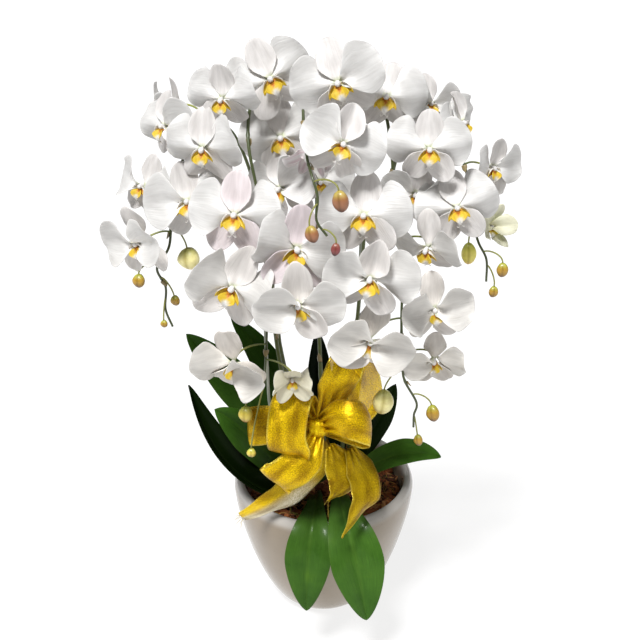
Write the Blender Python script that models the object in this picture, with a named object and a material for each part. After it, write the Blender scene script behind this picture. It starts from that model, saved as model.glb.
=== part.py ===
"""A white moth orchid in a round glazed pot: five arching flower spikes with their flowers and
buds, strap leaves, bark growing medium, two support stakes and a ribbon bow.

Metres, +Z up, the pot's base centred on the origin, -Y is the side that the bow faces.
"""

import math

import bmesh
import bpy
from mathutils import Matrix, Vector

MM = 0.001

# Pot: outer radius and height up the outside, then down the inside.
POT_OUTSIDE = [(40, 0), (46, 2), (57, 14), (69, 36), (80, 64), (89, 95), (95, 122), (97.5, 142)]
POT_LIP = [(97, 149), (94.5, 153.5), (91, 155), (88, 153)]
POT_INSIDE = [(86.5, 146), (85, 125), (79, 96), (70, 66), (58, 38), (46, 20), (34, 12)]
POT_SEGMENTS = 30

# Growing medium: it fills the pot and stands a little proud in the middle.
MEDIUM_GAP = 0.5
MEDIUM_EDGE_Z = 137
MEDIUM_CROWN = 8
MEDIUM_RINGS = 4
MEDIUM_SEGMENTS = 22
CHIP_HEIGHT = 1.6
CHIP_WAVES = (210, 190)
CHIP_SHARE = 0.97

# Leaves: midrib control points, greatest width, fold in degrees, way the upper face looks.
LEAF_THICK = 1.8
LEAF_ROWS = 9
LEAF_LAST_ROW = 0.965
LEAF_END_POWER = 1.7
# A leaf's outline: width at its root, where it is widest, how late it widens.
UPRIGHT = (0.42, 0.62, 1.2)
ARCHED = (0.34, 0.72, 3.6)
LEAVES = {
    "leaf_left_high": (
        [(-32, 8, 151), (-55, 4, 215), (-105, 6, 275), (-142, 2, 325)], 48, 25, (0.3, -0.8, 0.5)),
    "leaf_left_long": (
        [(-22, -34, 153), (-70, -62, 158), (-120, -62, 205), (-137, -42, 290)], 46, 50, (0.5, -0.5, 0.8)),
    "leaf_left_bright": (
        [(-32, -24, 153), (-56, -40, 205), (-84, -54, 250), (-110, -60, 272)], 42, 22, (0.1, -0.8, 0.55)),
    "leaf_back_left": (
        [(-26, 24, 151), (-30, 30, 210), (-60, 36, 285), (-98, 34, 328)], 36, 22, (0.2, -0.9, 0.4)),
    "leaf_back_upright": (
        [(-8, 34, 151), (-4, 46, 200), (-4, 52, 255), (-7, 50, 305)], 30, 25, (0.1, -1.0, 0.2)),
    "leaf_back_right": (
        [(16, 34, 151), (12, 46, 210), (24, 58, 275), (53, 66, 330)], 40, 22, (0.3, -0.9, 0.3)),
    "leaf_right_dark": (
        [(28, 2, 151), (46, 10, 190), (66, 10, 228), (76, 4, 264)], 31, 22, (-0.2, -0.9, 0.4)),
    "leaf_right_low": (
        [(30, -14, 151), (52, -30, 190), (86, -42, 218), (122, -46, 205)], 33, 22, (0.1, -0.5, 0.85)),
    "leaf_front_left": (
        [(-9, -36, 150), (-6, -92, 176), (-18, -122, 160), (-18, -122, 66)], 50, 18, (-0.1, -0.8, 0.6)),
    "leaf_front_right": (
        [(17, -34, 150), (14, -96, 180), (30, -128, 168), (44, -132, 62)], 60, 24, (0.1, -0.8, 0.6)),
    "leaf_inner_dark": (
        [(6, -14, 162), (-8, -36, 182), (-24, -54, 184), (-42, -70, 174)], 30, 18, (0.1, -0.5, 0.85)),
    "leaf_back_long": (
        [(2, 52, 151), (0, 80, 180), (8, 105, 215), (22, 132, 205)], 48, 22, (0.1, 0.5, 0.85)),
}

# Flower spikes: the way up each main stem, then its buds (place, length, width).
STEM_R_LOW = 2.4
STEM_R_TIP = 1.1
PEDICEL_R = 1.1
PEDICEL_GAP = 0.9
STALK_BEHIND = 22
STALK_RISE = 0.006
STALK_START = 0.25
STALK_ROWS = 4
STEM_SIDES = 5
STALK_SIDES = 4
BUD_STALK_END = 0.42
BUD_STALK_REACH = 0.4
BUD_STALK_SHARE = 0.9
SPIKES = {
    "spike_left": (
        [(-12, 4, 149), (-45, 14, 300), (-62, 16, 450), (-85, 8, 535), (-112, -6, 550), (-136, -22, 515),
         (-144, -38, 475), (-147, -50, 446), (-159, -55, 426), (-152, -55, 406), (-153, -58, 384),
         (-147, -60, 366)],
        [((-128, -60, 438), 22, 21), ((-177, -58, 414), 14, 12), ((-143, -60, 394), 11, 9),
         ((-155, -62, 370), 8, 7)],
    ),
    "spike_front_left": (
        [(-12, -12, 150), (-46, -8, 300), (-54, 0, 420), (-56, 2, 520), (-60, -12, 570), (-67, -34, 577),
         (-68, -66, 552), (-58, -84, 500), (-54, -88, 440), (-54, -88, 385), (-56, -88, 345),
         (-58, -89, 316)],
        [((-77, -92, 286), 17, 14), ((-72, -102, 248), 10, 9)],
    ),
    "spike_centre": (
        [(2, 4, 150), (-6, 24, 350), (-8, 26, 520), (-12, 12, 594), (-16, -12, 604), (-19, -44, 588),
         (-18, -76, 566), (-15, -104, 552), (-11, -124, 544), (-6, -134, 528), (-7, -140, 510),
         (2, -142, 496)],
        [((13, -148, 530), 20, 14), ((-11, -148, 500), 16, 12), ((9, -148, 486), 12, 8)],
    ),
    "spike_front_right": (
        [(16, -6, 150), (34, 10, 330), (42, 12, 470), (46, 2, 550), (56, -20, 566), (62, -32, 535),
         (67, -40, 490), (74, -66, 440), (73, -82, 390), (75, -88, 340), (78, -90, 322), (90, -90, 298),
         (88, -90, 284), (88, -90, 270)],
        [((56, -95, 302), 26, 20), ((106, -92, 287), 18, 13), ((93, -92, 256), 12, 9)],
    ),
    "spike_right": (
        [(24, 14, 150), (48, 26, 330), (66, 28, 480), (84, 18, 550), (104, 12, 550), (126, -18, 530),
         (138, -32, 495), (142, -44, 464), (146, -50, 450), (154, -53, 434), (155, -55, 412)],
        [((136, -55, 441), 23, 14), ((169, -55, 424), 15, 11), ((162, -55, 401), 12, 9)],
    ),
}

# Flowers: place, then degrees that it looks to +X, up, and turns clockwise, width, form.
FLOWERS = {
    "flower_left_1": ((-90, -68, 595), -14, -8, -5, 66, "open"),
    "flower_left_2": ((-108, -72, 551), -15, -5, -4, 76, "open"),
    "flower_left_3": ((-147, -22, 555), -45, 10, -8, 70, "open"),
    "flower_left_4": ((-125, -70, 499), 0, 18, -8, 80, "open"),
    "flower_left_5": ((-170, -32, 500), -35, 10, 5, 66, "open"),
    "flower_left_6": ((-173, -60, 455), -32, -5, -16, 76, "cupped"),
    "flower_left_7": ((-146, 22, 560), -70, -15, 0, 64, "open"),
    "flower_front_left_1": ((-49, -30, 602), 5, 10, -24, 82, "open"),
    "flower_front_left_2": ((-40, -28, 546), -4, 8, -14, 82, "open"),
    "flower_front_left_3": ((-79, -105, 500), -10, 18, 0, 84, "open"),
    "flower_front_left_4": ((-83, -118, 436), -8, 2, 22, 86, "cupped"),
    "flower_front_left_5": ((-25, -114, 472), 8, 5, 12, 86, "cupped"),
    "flower_front_left_6": ((-24, -138, 430), 4, -12, 2, 84, "cupped"),
    "flower_front_left_7": ((-85, -114, 356), -8, -18, -8, 78, "cupped"),
    "flower_front_left_8": ((-30, -112, 338), 0, -10, 0, 54, "half"),
    "flower_centre_1": ((12, -60, 607), -5, 5, -20, 84, "open"),
    "flower_centre_2": ((15, -105, 566), 8, 12, 24, 76, "open"),
    "flower_centre_3": ((-40, -55, 506), -25, 5, -22, 76, "open"),
    "flower_centre_4": ((-4, -46, 510), 5, 0, 10, 62, "open"),
    "flower_centre_5": ((-10, -72, 550), -20, -40, 0, 56, "half"),
    "flower_front_right_1": ((56, -42, 589), -8, 12, 4, 76, "swept"),
    "flower_front_right_2": ((84, -54, 501), -5, -5, 12, 66, "open"),
    "flower_front_right_3": ((35, -105, 500), -8, 14, -2, 84, "open"),
    "flower_front_right_4": ((94, -87, 461), -26, -22, -6, 72, "open"),
    "flower_front_right_5": ((40, -130, 451), -6, 0, 10, 84, "cupped"),
    "flower_front_right_6": ((101, -98, 404), 12, 4, -4, 72, "cupped"),
    "flower_front_right_7": ((42, -120, 384), 0, -8, 14, 84, "cupped"),
    "flower_front_right_8": ((106, -82, 342), -5, -20, 4, 66, "cupped"),
    "flower_right_1": ((98, -3, 571), 24, 10, 8, 60, "open"),
    "flower_right_2": ((126, -20, 558), 60, 5, 0, 62, "open"),
    "flower_right_3": ((93, -74, 551), 0, 5, 2, 74, "open"),
    "flower_right_4": ((120, -77, 496), 0, 16, -12, 76, "open"),
    "flower_right_5": ((158, -13, 512), 38, 0, 6, 66, "cupped"),
    "flower_right_6": ((158, -30, 458), 30, 24, 20, 56, "half"),
}

# Each form: how far the petals and then the sepals lean forward, in degrees, and their breadth.
FORMS = {"open": (4, -8, 1), "cupped": (22, 8, 1), "swept": (-12, -22, 1), "half": (52, 46, 0.62)}

# One part of a flower in flower widths: turn from upright, length, width, lift at its root.
PETAL = (82, 0.50, 0.53, 0.03)
DORSAL_SEPAL = (0, 0.45, 0.29, -0.02)
SIDE_SEPAL = (144, 0.44, 0.27, -0.02)
LIP = (180, 0.20, 0.15, 0.035)
LIP_LEAN = 48
COLUMN = [(-0.11, 0.016), (-0.035, 0.046), (0.045, 0.044), (0.11, 0.024)]
COLUMN_SIDES = 5
UNEVEN = 1.7
TEPAL_THICK = 0.014
TEPAL_FOLD = 4
PETAL_ROWS = 4
SEPAL_ROWS = 2

# Stakes
STAKE_R = 1.6
STAKE_ROWS = 7
STAKE_SIDES = 6
STAKES = {
    "stake_left": [(-30, -4, 151), (-54, -22, 240), (-58, -22, 300), (-60, -20, 372)],
    "stake_right": [(26, 20, 151), (34, 28, 250), (36, 30, 340), (38, 32, 430)],
}

# Ribbon: centre of the bow, loops as ways out and back, and the tails.
RIBBON_WIDTH = 38
RIBBON_THICK = 0.9
KNOT = (-5, -94, 274)
KNOT_SIZE = (26.4, 22)
KNOT_TILT = (0, -0.2, 1)
LOOPS = [
    ([(2, 1, 3), (13, 0, 34), (20, -6, 56), (28, 0, 68), (40, 14, 50), (46, 18, 12), (26, 11, -6),
      (2, 2, -2)],
     (0.95, 0.1, -0.15), (0.75, 0.6, 0.0)),
    ([(1, -1, 2), (18, -18, 19), (34, -24, 21), (45, -16, 9), (38, -4, -2), (2, 0, -2)],
     (-0.15, 0.4, 0.9), (-0.1, 0.35, 0.9)),
    ([(-1, 1, 3), (-16, 0, 28), (-26, -12, 34), (-31, -26, 14), (-30, -27, -6), (-20, -14, -18),
      (-1, -1, -3)],
     (1.0, -0.1, 0.1), (0.9, 0.2, -0.2)),
    ([(-1, -1, 1), (-34, 1, 2), (-60, 3, -3), (-68, 12, -8), (-58, 22, -12), (-32, 17, -10), (-2, 2, -2)],
     (0.0, 0.3, 1.0), (0.0, 0.3, 1.0)),
    ([(-1, -2, -2), (-12, -20, -22), (-28, -28, -36), (-42, -22, -49), (-36, -9, -50), (-1, -1, -4)],
     (0.7, -0.2, -0.7), (0.7, 0.1, -0.7)),
]
TAILS = {
    "ribbon_tail_left": (
        [(3, 2, -17), (0, 2, -36), (-13, 2, -58), (-31, 2, -80), (-55, 2, -96), (-80, 2, -110)],
        (1.0, 0.0, 0.0), (0.5, 0.2, -0.8)),
    "ribbon_tail_middle": (
        [(10, -10, -17), (19, -14, -35), (24, -20, -49), (20, -27, -61), (13, -31, -70)],
        (0.8, 0.6, 0.1), (0.8, 0.5, 0.2)),
    "ribbon_tail_right": (
        [(30, -4, -23), (41, -10, -46), (47, -20, -65), (41, -28, -83), (30, -34, -110)],
        (0.8, 0.6, 0.0), (0.75, 0.55, 0.2)),
}
TAIL_WIDTH = 34
LOOP_ROWS = 10
TAIL_ROWS = 8
# Share of its width that the ribbon has where it is gathered, and how fast it opens from there.
WAIST = 0.35
LOOP_OPENING = 3.2
TAIL_OPENING = 2.6
TAIL_POINT = 0.3

COLOURS = {
    "pot": (0.80, 0.77, 0.72), "growing_medium": (0.20, 0.09, 0.05), "leaf": (0.05, 0.17, 0.03),
    "spike": (0.16, 0.22, 0.06), "stake": (0.45, 0.45, 0.42), "ribbon": (0.62, 0.45, 0.04),
    "flower": (0.90, 0.89, 0.90),
}


def clear_scene():
    for thing in list(bpy.data.objects):
        bpy.data.objects.remove(thing)


def material(name):
    kind = next(k for k in COLOURS if name.startswith(k))
    made = bpy.data.materials.new(name)
    made.use_nodes = True
    shader = made.node_tree.nodes["Principled BSDF"]
    shader.inputs["Base Color"].default_value = (*COLOURS[kind], 1)
    shader.inputs["Roughness"].default_value = 0.2 if kind == "pot" else 0.5
    return made


def add_object(name, points, faces):
    mesh = bpy.data.meshes.new(name)
    mesh.from_pydata([tuple(p) for p in points], [], faces)
    mesh.update()
    made = bpy.data.objects.new(name, mesh)
    bpy.context.scene.collection.objects.link(made)
    for face in mesh.polygons:
        face.use_smooth = True
    mesh.materials.append(material(name))
    return made


def united(shapes):
    """The Boolean union of closed shapes, as one shape."""
    made = []
    for points, faces in shapes:
        mesh = bpy.data.meshes.new("piece")
        mesh.from_pydata([tuple(p) for p in points], [], faces)
        made.append(bpy.data.objects.new("piece", mesh))
        bpy.context.scene.collection.objects.link(made[-1])
    body = made[0]
    for other in made[1:]:
        join = body.modifiers.new("join", "BOOLEAN")
        join.operation = "UNION"
        join.solver = "MANIFOLD"
        join.object = other
    graph = bpy.context.evaluated_depsgraph_get()
    whole = body.evaluated_get(graph).to_mesh()
    points = [v.co.copy() for v in whole.vertices]
    faces = [tuple(face.vertices) for face in whole.polygons]
    body.evaluated_get(graph).to_mesh_clear()
    for thing in made:
        bpy.data.objects.remove(thing)
    return points, faces


def lathe(rings, segments):
    """A solid of revolution from (radius, z) pairs, closed at both poles by a flat fan."""
    points, faces = [], []
    for radius, z in rings:
        for i in range(segments):
            turn = 2 * math.pi * i / segments
            points.append(Vector((radius * math.cos(turn), radius * math.sin(turn), z)))
    for r in range(len(rings) - 1):
        for i in range(segments):
            j = (i + 1) % segments
            a, b = r * segments, (r + 1) * segments
            faces.append((a + i, a + j, b + j, b + i))
    last = (len(rings) - 1) * segments
    faces.append(tuple(reversed(range(segments))))
    faces.append(tuple(range(last, last + segments)))
    return points, faces


def smooth_path(controls, count):
    """Points evenly spread in parameter along a Catmull-Rom curve through the controls."""
    ends = [2 * controls[0] - controls[1], *controls, 2 * controls[-1] - controls[-2]]
    spans = len(controls) - 1
    path = []
    for i in range(count):
        at = i / (count - 1) * spans
        k = min(int(at), spans - 1)
        t = at - k
        a, b, c, d = ends[k : k + 4]
        cubic = (c - a) * t + (2 * a - 5 * b + 4 * c - d) * t * t + (3 * b - a - 3 * c + d) * t**3
        path.append(b + 0.5 * cubic)
    return path


def directions(path):
    last = len(path) - 1
    return [(path[min(i + 1, last)] - path[max(i - 1, 0)]).normalized() for i in range(last + 1)]


def tube(path, radii, sides):
    """A closed round tube along a path; its frame is carried along so that it never twists."""
    points, faces = [], []
    side = None
    for centre, along, radius in zip(path, directions(path), radii):
        if side is None:
            side = along.orthogonal().normalized()
        side = (side - along * side.dot(along)).normalized()
        other = along.cross(side)
        for i in range(sides):
            turn = 2 * math.pi * i / sides
            points.append(centre + radius * (math.cos(turn) * side + math.sin(turn) * other))
    for r in range(len(path) - 1):
        for i in range(sides):
            j = (i + 1) % sides
            faces.append((r * sides + i, r * sides + j, (r + 1) * sides + j, (r + 1) * sides + i))
    last = (len(path) - 1) * sides
    faces.append(tuple(reversed(range(sides))))
    faces.append(tuple(range(last, last + sides)))
    return points, faces


def blade(path, ups, half_widths, thick, fold, first_point=True):
    """A closed blade with thin edges: `fold` radians lift its two edges above its midrib."""
    points, faces = [], []
    rows = len(path)
    tips = {0: first_point, rows - 1: True}
    starts = []
    for r, (centre, along, up, half) in enumerate(zip(path, directions(path), ups, half_widths)):
        side = along.cross(up).normalized()
        face = side.cross(along).normalized()
        starts.append(len(points))
        if tips.get(r):
            points.append(centre)
            continue
        edge = half * (math.cos(fold) * side) + half * math.sin(fold) * face
        other = -half * (math.cos(fold) * side) + half * math.sin(fold) * face
        points += [centre + edge, centre + face * thick / 2, centre + other, centre - face * thick / 2]
    for r in range(rows - 1):
        a, b = starts[r], starts[r + 1]
        for i in range(4):
            j = (i + 1) % 4
            if tips.get(r):
                faces.append((a, b + j, b + i))
            elif tips.get(r + 1):
                faces.append((a + i, a + j, b))
            else:
                faces.append((a + i, a + j, b + j, b + i))
    if not first_point:
        faces.append((3, 2, 1, 0))
    return points, [tuple(reversed(face)) for face in faces]


def hull(corners):
    """The convex solid about some corners."""
    frame = bmesh.new()
    for corner in corners:
        frame.verts.new(corner)
    bmesh.ops.convex_hull(frame, input=frame.verts)
    frame.verts.index_update()
    points = [v.co.copy() for v in frame.verts]
    faces = [tuple(v.index for v in face.verts) for face in frame.faces]
    frame.free()
    return points, faces


def strip(path, ups, widths, thick):
    """The lengths of a ribbon with square edges, one solid each; `ups` are the ways across it."""
    ends = []
    for centre, along, across, width in zip(path, directions(path), ups, widths):
        across = (across - along * across.dot(along)).normalized() * width / 2
        normal = along.cross(across).normalized() * thick / 2
        lap = along * thick / 2
        corners = [centre + across + normal, centre - across + normal, centre - across - normal,
                   centre + across - normal]
        ends.append((corners, lap))
    lengths = []
    for (first, first_lap), (second, second_lap) in zip(ends, ends[1:]):
        lengths.append(hull([p - first_lap for p in first] + [p + second_lap for p in second]))
    return lengths


def ball(centre, along, length, width, rings=3, sides=6):
    """A closed bud shape: an egg along a direction, blunt at its root."""
    path, radii = [], []
    for i in range(rings + 2):
        t = i / (rings + 1)
        path.append(centre + along * length * (t - 0.5))
        bulge = math.sin(math.pi * min(0.97, 0.06 + 0.94 * t)) ** 0.75
        radii.append(max(0.08, bulge) * width / 2)
    return tube(path, radii, sides)


def points_of(rows):
    return [Vector(row) * MM for row in rows]


def make_pot():
    rings = [(r * MM, z * MM) for r, z in POT_OUTSIDE + POT_LIP + POT_INSIDE]
    add_object("pot", *lathe(rings, POT_SEGMENTS))


def chip_height(x, y):
    return CHIP_HEIGHT * MM * math.sin(x * CHIP_WAVES[0]) * math.cos(y * CHIP_WAVES[1])


def make_medium():
    wall = [(r, z) for r, z in reversed(POT_INSIDE) if z < MEDIUM_EDGE_Z]
    rings = [((r - MEDIUM_GAP) * MM, (z + MEDIUM_GAP) * MM) for r, z in wall]
    rings.append(((POT_INSIDE[1][0] - MEDIUM_GAP) * MM, MEDIUM_EDGE_Z * MM))
    top_radius = rings[-1][0]
    for i in range(1, MEDIUM_RINGS + 1):
        share = 1 - i / (MEDIUM_RINGS + 0.5)
        rings.append((top_radius * share, (MEDIUM_EDGE_Z + MEDIUM_CROWN * (1 - share**2)) * MM))
    points, faces = lathe(rings, MEDIUM_SEGMENTS)
    inside = top_radius * CHIP_SHARE
    for p in points:
        if p.z >= MEDIUM_EDGE_Z * MM and math.hypot(p.x, p.y) < inside:
            p.z += chip_height(p.x, p.y)
    add_object("growing_medium", points, faces)


def leaf_width(t, habit):
    """Share of the greatest width at a share of the length: narrow root, oval end."""
    root, widest, rise = habit
    widening = math.sin(math.pi / 2 * min(1, t / widest)) ** rise
    end = max(0, (t - widest) / (1 - widest)) ** LEAF_END_POWER
    return (root + (1 - root) * widening) * math.sqrt(1 - end)


def bezier(controls, t):
    a, b, c, d = controls
    s = 1 - t
    return a * s**3 + 3 * b * s * s * t + 3 * c * s * t * t + d * t**3


def make_leaves():
    for name, (controls, width, fold, look) in LEAVES.items():
        controls = points_of(controls)
        shares = [i / LEAF_ROWS for i in range(LEAF_ROWS)] + [LEAF_LAST_ROW, 1]
        path = [bezier(controls, t) for t in shares]
        habit = ARCHED if "front" in name else UPRIGHT
        halves = [leaf_width(t, habit) * width * MM / 2 for t in shares]
        ups = [Vector(look)] * len(path)
        add_object(name, *blade(path, ups, halves, LEAF_THICK * MM, math.radians(fold), False))


def flower_matrix(place, yaw, pitch, roll):
    yaw, pitch, roll = map(math.radians, (yaw, pitch, roll))
    out = Vector((math.sin(yaw) * math.cos(pitch), -math.cos(yaw) * math.cos(pitch), math.sin(pitch)))
    up = (Vector((0, 0, 1)) - out * out.z).normalized()
    right = up.cross(out)
    up, right = up * math.cos(roll) + right * math.sin(roll), right * math.cos(roll) - up * math.sin(roll)
    turn = Matrix((right, up, out)).transposed().to_4x4()
    return Matrix.Translation(Vector(place) * MM) @ turn


def tepal(turn, length, width, lift, lean, rows):
    """One petal or sepal of a flower one unit wide, as a thin blade from the centre outwards."""
    turn, lean = math.radians(turn), math.radians(lean)
    away = Vector((math.sin(turn), math.cos(turn), 0))
    out = away * math.cos(lean) + Vector((0, 0, math.sin(lean)))
    face = Vector((0, 0, 1)) * math.cos(lean) - away * math.sin(lean)
    shares = [0.04, *[(i + 1) / (rows + 1) for i in range(rows)], 1]
    path = [out * length * t + face * (lift * min(1, 4 * t)) for t in shares]
    halves = [0.5 * width * tepal_width(t) for t in shares]
    return blade(path, [face] * len(path), halves, TEPAL_THICK, math.radians(TEPAL_FOLD))


def tepal_width(t):
    """Share of the greatest width along a petal or sepal: a narrow claw, then a broad round end."""
    return math.sin(math.pi * min(t, 1) ** 1.15) ** 0.55 * min(1, 0.3 + 2 * t)


def flower_shape(petal_lean, sepal_lean, breadth):
    column = tube([Vector((0, 0, z)) for z, _ in COLUMN], [r for _, r in COLUMN], COLUMN_SIDES)
    shapes = [column]
    for side in (1, -1):
        turn, length, width, lift = PETAL
        lean = petal_lean + side
        shapes.append(tepal(side * turn + UNEVEN, length, width * breadth, lift, lean, PETAL_ROWS))
        turn, length, width, lift = SIDE_SEPAL
        lean = sepal_lean - side
        shapes.append(tepal(side * turn - UNEVEN, length, width * breadth, lift, lean, SEPAL_ROWS))
    turn, length, width, lift = DORSAL_SEPAL
    shapes.append(tepal(turn + UNEVEN, length, width * breadth, lift, sepal_lean, SEPAL_ROWS))
    shapes.append(tepal(*LIP, LIP_LEAN, SEPAL_ROWS))
    return united(shapes)


def make_flowers():
    shapes = {form: flower_shape(*leans) for form, leans in FORMS.items()}
    for name, (place, yaw, pitch, roll, width, form) in FLOWERS.items():
        matrix = flower_matrix(place, yaw, pitch, roll) @ Matrix.Scale(width * MM, 4)
        points, faces = shapes[form]
        add_object(name, [matrix @ p for p in points], faces)


def flower_back(place, yaw, pitch, roll, width):
    """Where a flower's stalk starts behind it, and the way that the flower looks."""
    matrix = flower_matrix(place, yaw, pitch, roll)
    out = (matrix.to_3x3() @ Vector((0, 0, 1))).normalized()
    return matrix.translation + out * ((COLUMN[0][0] * width - PEDICEL_GAP) * MM), out


def stalk(stem, end, leaving, reach=0.5):
    """A pedicel from the nearest part of the stem to `end`, arriving along `leaving`."""
    behind = end - leaving * STALK_BEHIND * MM
    k = min(range(3, len(stem) - 1), key=lambda i: (stem[i] - behind).length)
    start = stem[k]
    bend = min((end - start).length * reach, STALK_BEHIND * MM)
    rising = start + (end - start) * STALK_START + Vector((0, 0, STALK_RISE))
    controls = (start, rising, end - leaving * bend, end)
    return [bezier(controls, i / STALK_ROWS) for i in range(STALK_ROWS + 1)]


def make_spikes():
    for name, (controls, buds) in SPIKES.items():
        count = 2 * len(controls)
        stem = smooth_path(points_of(controls), count)
        radii = [(STEM_R_LOW + (STEM_R_TIP - STEM_R_LOW) * i / (count - 1)) * MM for i in range(count)]
        shapes = [tube(stem, radii, STEM_SIDES)]
        wanted = name.replace("spike", "flower")
        for flower, (place, yaw, pitch, roll, width, _) in FLOWERS.items():
            if flower.rsplit("_", 1)[0] == wanted:
                end, out = flower_back(place, yaw, pitch, roll, width)
                path = stalk(stem, end, out)
                shapes.append(tube(path, [PEDICEL_R * MM] * len(path), STALK_SIDES))
        for place, length, width in buds:
            centre = Vector(place) * MM
            down = Vector((0, 0, -1))
            path = stalk(stem, centre - down * length * MM * BUD_STALK_END, down, BUD_STALK_REACH)
            shapes.append(tube(path, [PEDICEL_R * BUD_STALK_SHARE * MM] * len(path), STALK_SIDES))
            shapes.append(ball(centre, down, length * MM, width * MM))
        add_object(name, *united(shapes))


def make_stakes():
    for name, controls in STAKES.items():
        path = smooth_path(points_of(controls), STAKE_ROWS)
        add_object(name, *tube(path, [STAKE_R * MM] * len(path), STAKE_SIDES))


def ribbon_strip(controls, first_across, last_across, width, rows, pointed=False):
    centre = Vector(KNOT) * MM
    path = [centre + p for p in smooth_path(points_of(controls), rows)]
    ups = [Vector(first_across).lerp(Vector(last_across), i / (rows - 1)) for i in range(rows)]
    widths = []
    for i in range(rows):
        t = i / (rows - 1)
        opened = TAIL_OPENING * t if pointed else LOOP_OPENING * min(t, 1 - t)
        widths.append(width * MM * min(1, WAIST + opened))
    if pointed:
        widths[-1] *= TAIL_POINT
    return strip(path, ups, widths, RIBBON_THICK * MM)


def make_ribbon():
    centre = Vector(KNOT) * MM
    length, width = KNOT_SIZE
    shapes = [ball(centre, Vector(KNOT_TILT).normalized(), length * MM, width * MM, 4, 8)]
    for controls, first, last in LOOPS:
        shapes += ribbon_strip(controls, first, last, RIBBON_WIDTH, LOOP_ROWS)
    add_object("ribbon_bow", *united(shapes))
    for name, (controls, first, last) in TAILS.items():
        add_object(name, *united(ribbon_strip(controls, first, last, TAIL_WIDTH, TAIL_ROWS, True)))


clear_scene()
make_pot()
make_medium()
make_leaves()
make_spikes()
make_stakes()
make_flowers()
make_ribbon()
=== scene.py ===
"""Looks of the potted moth orchid: petals, buds, stems, leaves, bark, glazed pot and organza bow.

Metres, +Z up, the pot's base centred on the origin, -Y is the side that the bow faces.
Tables of places and paths are in millimetres, as in the CAD model, and a flower's parts are in shares of
its width.
"""

import math

import bpy
import numpy as np
from mathutils import Matrix, Vector


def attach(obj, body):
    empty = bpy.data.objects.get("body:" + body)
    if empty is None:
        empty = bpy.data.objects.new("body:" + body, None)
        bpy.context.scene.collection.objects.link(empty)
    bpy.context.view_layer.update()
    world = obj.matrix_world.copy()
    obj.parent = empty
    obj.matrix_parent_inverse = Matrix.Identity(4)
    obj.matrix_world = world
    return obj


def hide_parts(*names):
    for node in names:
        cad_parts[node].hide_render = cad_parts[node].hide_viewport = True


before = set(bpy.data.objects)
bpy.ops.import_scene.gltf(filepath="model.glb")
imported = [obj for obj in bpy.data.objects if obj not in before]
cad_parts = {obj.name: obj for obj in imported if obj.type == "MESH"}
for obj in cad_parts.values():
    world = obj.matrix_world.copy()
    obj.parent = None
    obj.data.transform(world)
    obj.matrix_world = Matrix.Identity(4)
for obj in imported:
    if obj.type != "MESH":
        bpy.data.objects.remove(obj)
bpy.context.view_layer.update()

MM = 0.001

# Camera, light and floor. Each sun: the way that it shines, its strength, its spread in degrees.
CAMERA_PLACE = (-0.004, -1.08, 0.895)
CAMERA_TILT = 62.9
CAMERA_LENS = 66.6
CAMERA_SIGHT = 60
SENSOR_WIDTH = 36
SUNS = {"key": ((0.25, 0.46, -1.0), 4.1, 14), "side": ((-0.5, 0.5, -1.0), 0.5, 60)}
ROOM_COLOUR = (1.0, 0.98, 0.95, 1)
ROOM_GLOW = 0.14
FLOOR_HALF = 14.0
FLOOR_DROP = 0.0002
FLOOR_WHITE = (0.24, 0.24, 0.24, 1)
FLOOR_GLOW = 0.80

# Sockets of a Mix node that mixes colours.
MIX_A, MIX_B, MIX_RESULT = 6, 7, 2

# Where each kind of piece starts its random draws.
FLOWER_SEED, SPIKE_SEED, LEAF_SEED, BARK_SEED = 100, 300, 500, 700
LOOP_SEED, TAIL_SEED, FRAY_SEED = 900, 950, 982

# Pot: outer radius and height up the outside, over the lip, then down the inside.
POT_PROFILE = [
    (0.2, 0), (36, 0), (42, 0.6), (46, 2), (57, 14), (69, 36), (80, 64), (89, 95), (95, 122), (97.5, 142),
    (97, 149), (94.5, 153.5), (91, 155), (88, 153), (86.5, 146), (85, 125), (79, 96), (70, 66),
]
# The hollow below that, which the growing medium hides.
POT_BOTTOM = [(66, 50), (40, 20), (0.2, 16)]
POT_SEGMENTS = 144
# Glaze (linear) on the wall, a painted highlight on the rim, and the heights between which the one turns into
# the other.
GLAZE_WALL = (0.405, 0.345, 0.268)
RIM_PAINTED_HIGHLIGHT = (0.66, 0.66, 0.66)
RIM_HIGHLIGHT_HEIGHTS = (0.141, 0.153)

# Growing medium: least and greatest chip sizes, colours (linear) and how common each brown is.
MEDIUM_RADIUS = 84.5
MEDIUM_EDGE_Z = 134
MEDIUM_CROWN = 8
CHIP_COUNT = 980
CHIP_SIZES = ((5, 3.5, 2), (14, 8, 4.5))
BED_BROWN = (0.045, 0.022, 0.015)
BROWNS = [
    (0.19, 0.066, 0.024), (0.09, 0.034, 0.016), (0.30, 0.12, 0.045), (0.40, 0.22, 0.10),
    (0.045, 0.020, 0.012),
]
BROWN_SHARES = [0.34, 0.24, 0.22, 0.10, 0.10]
FIBRE_COUNT = 620
DRY_MOSS = (0.38, 0.25, 0.08)
GREEN_MOSS = (0.14, 0.16, 0.03)
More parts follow.
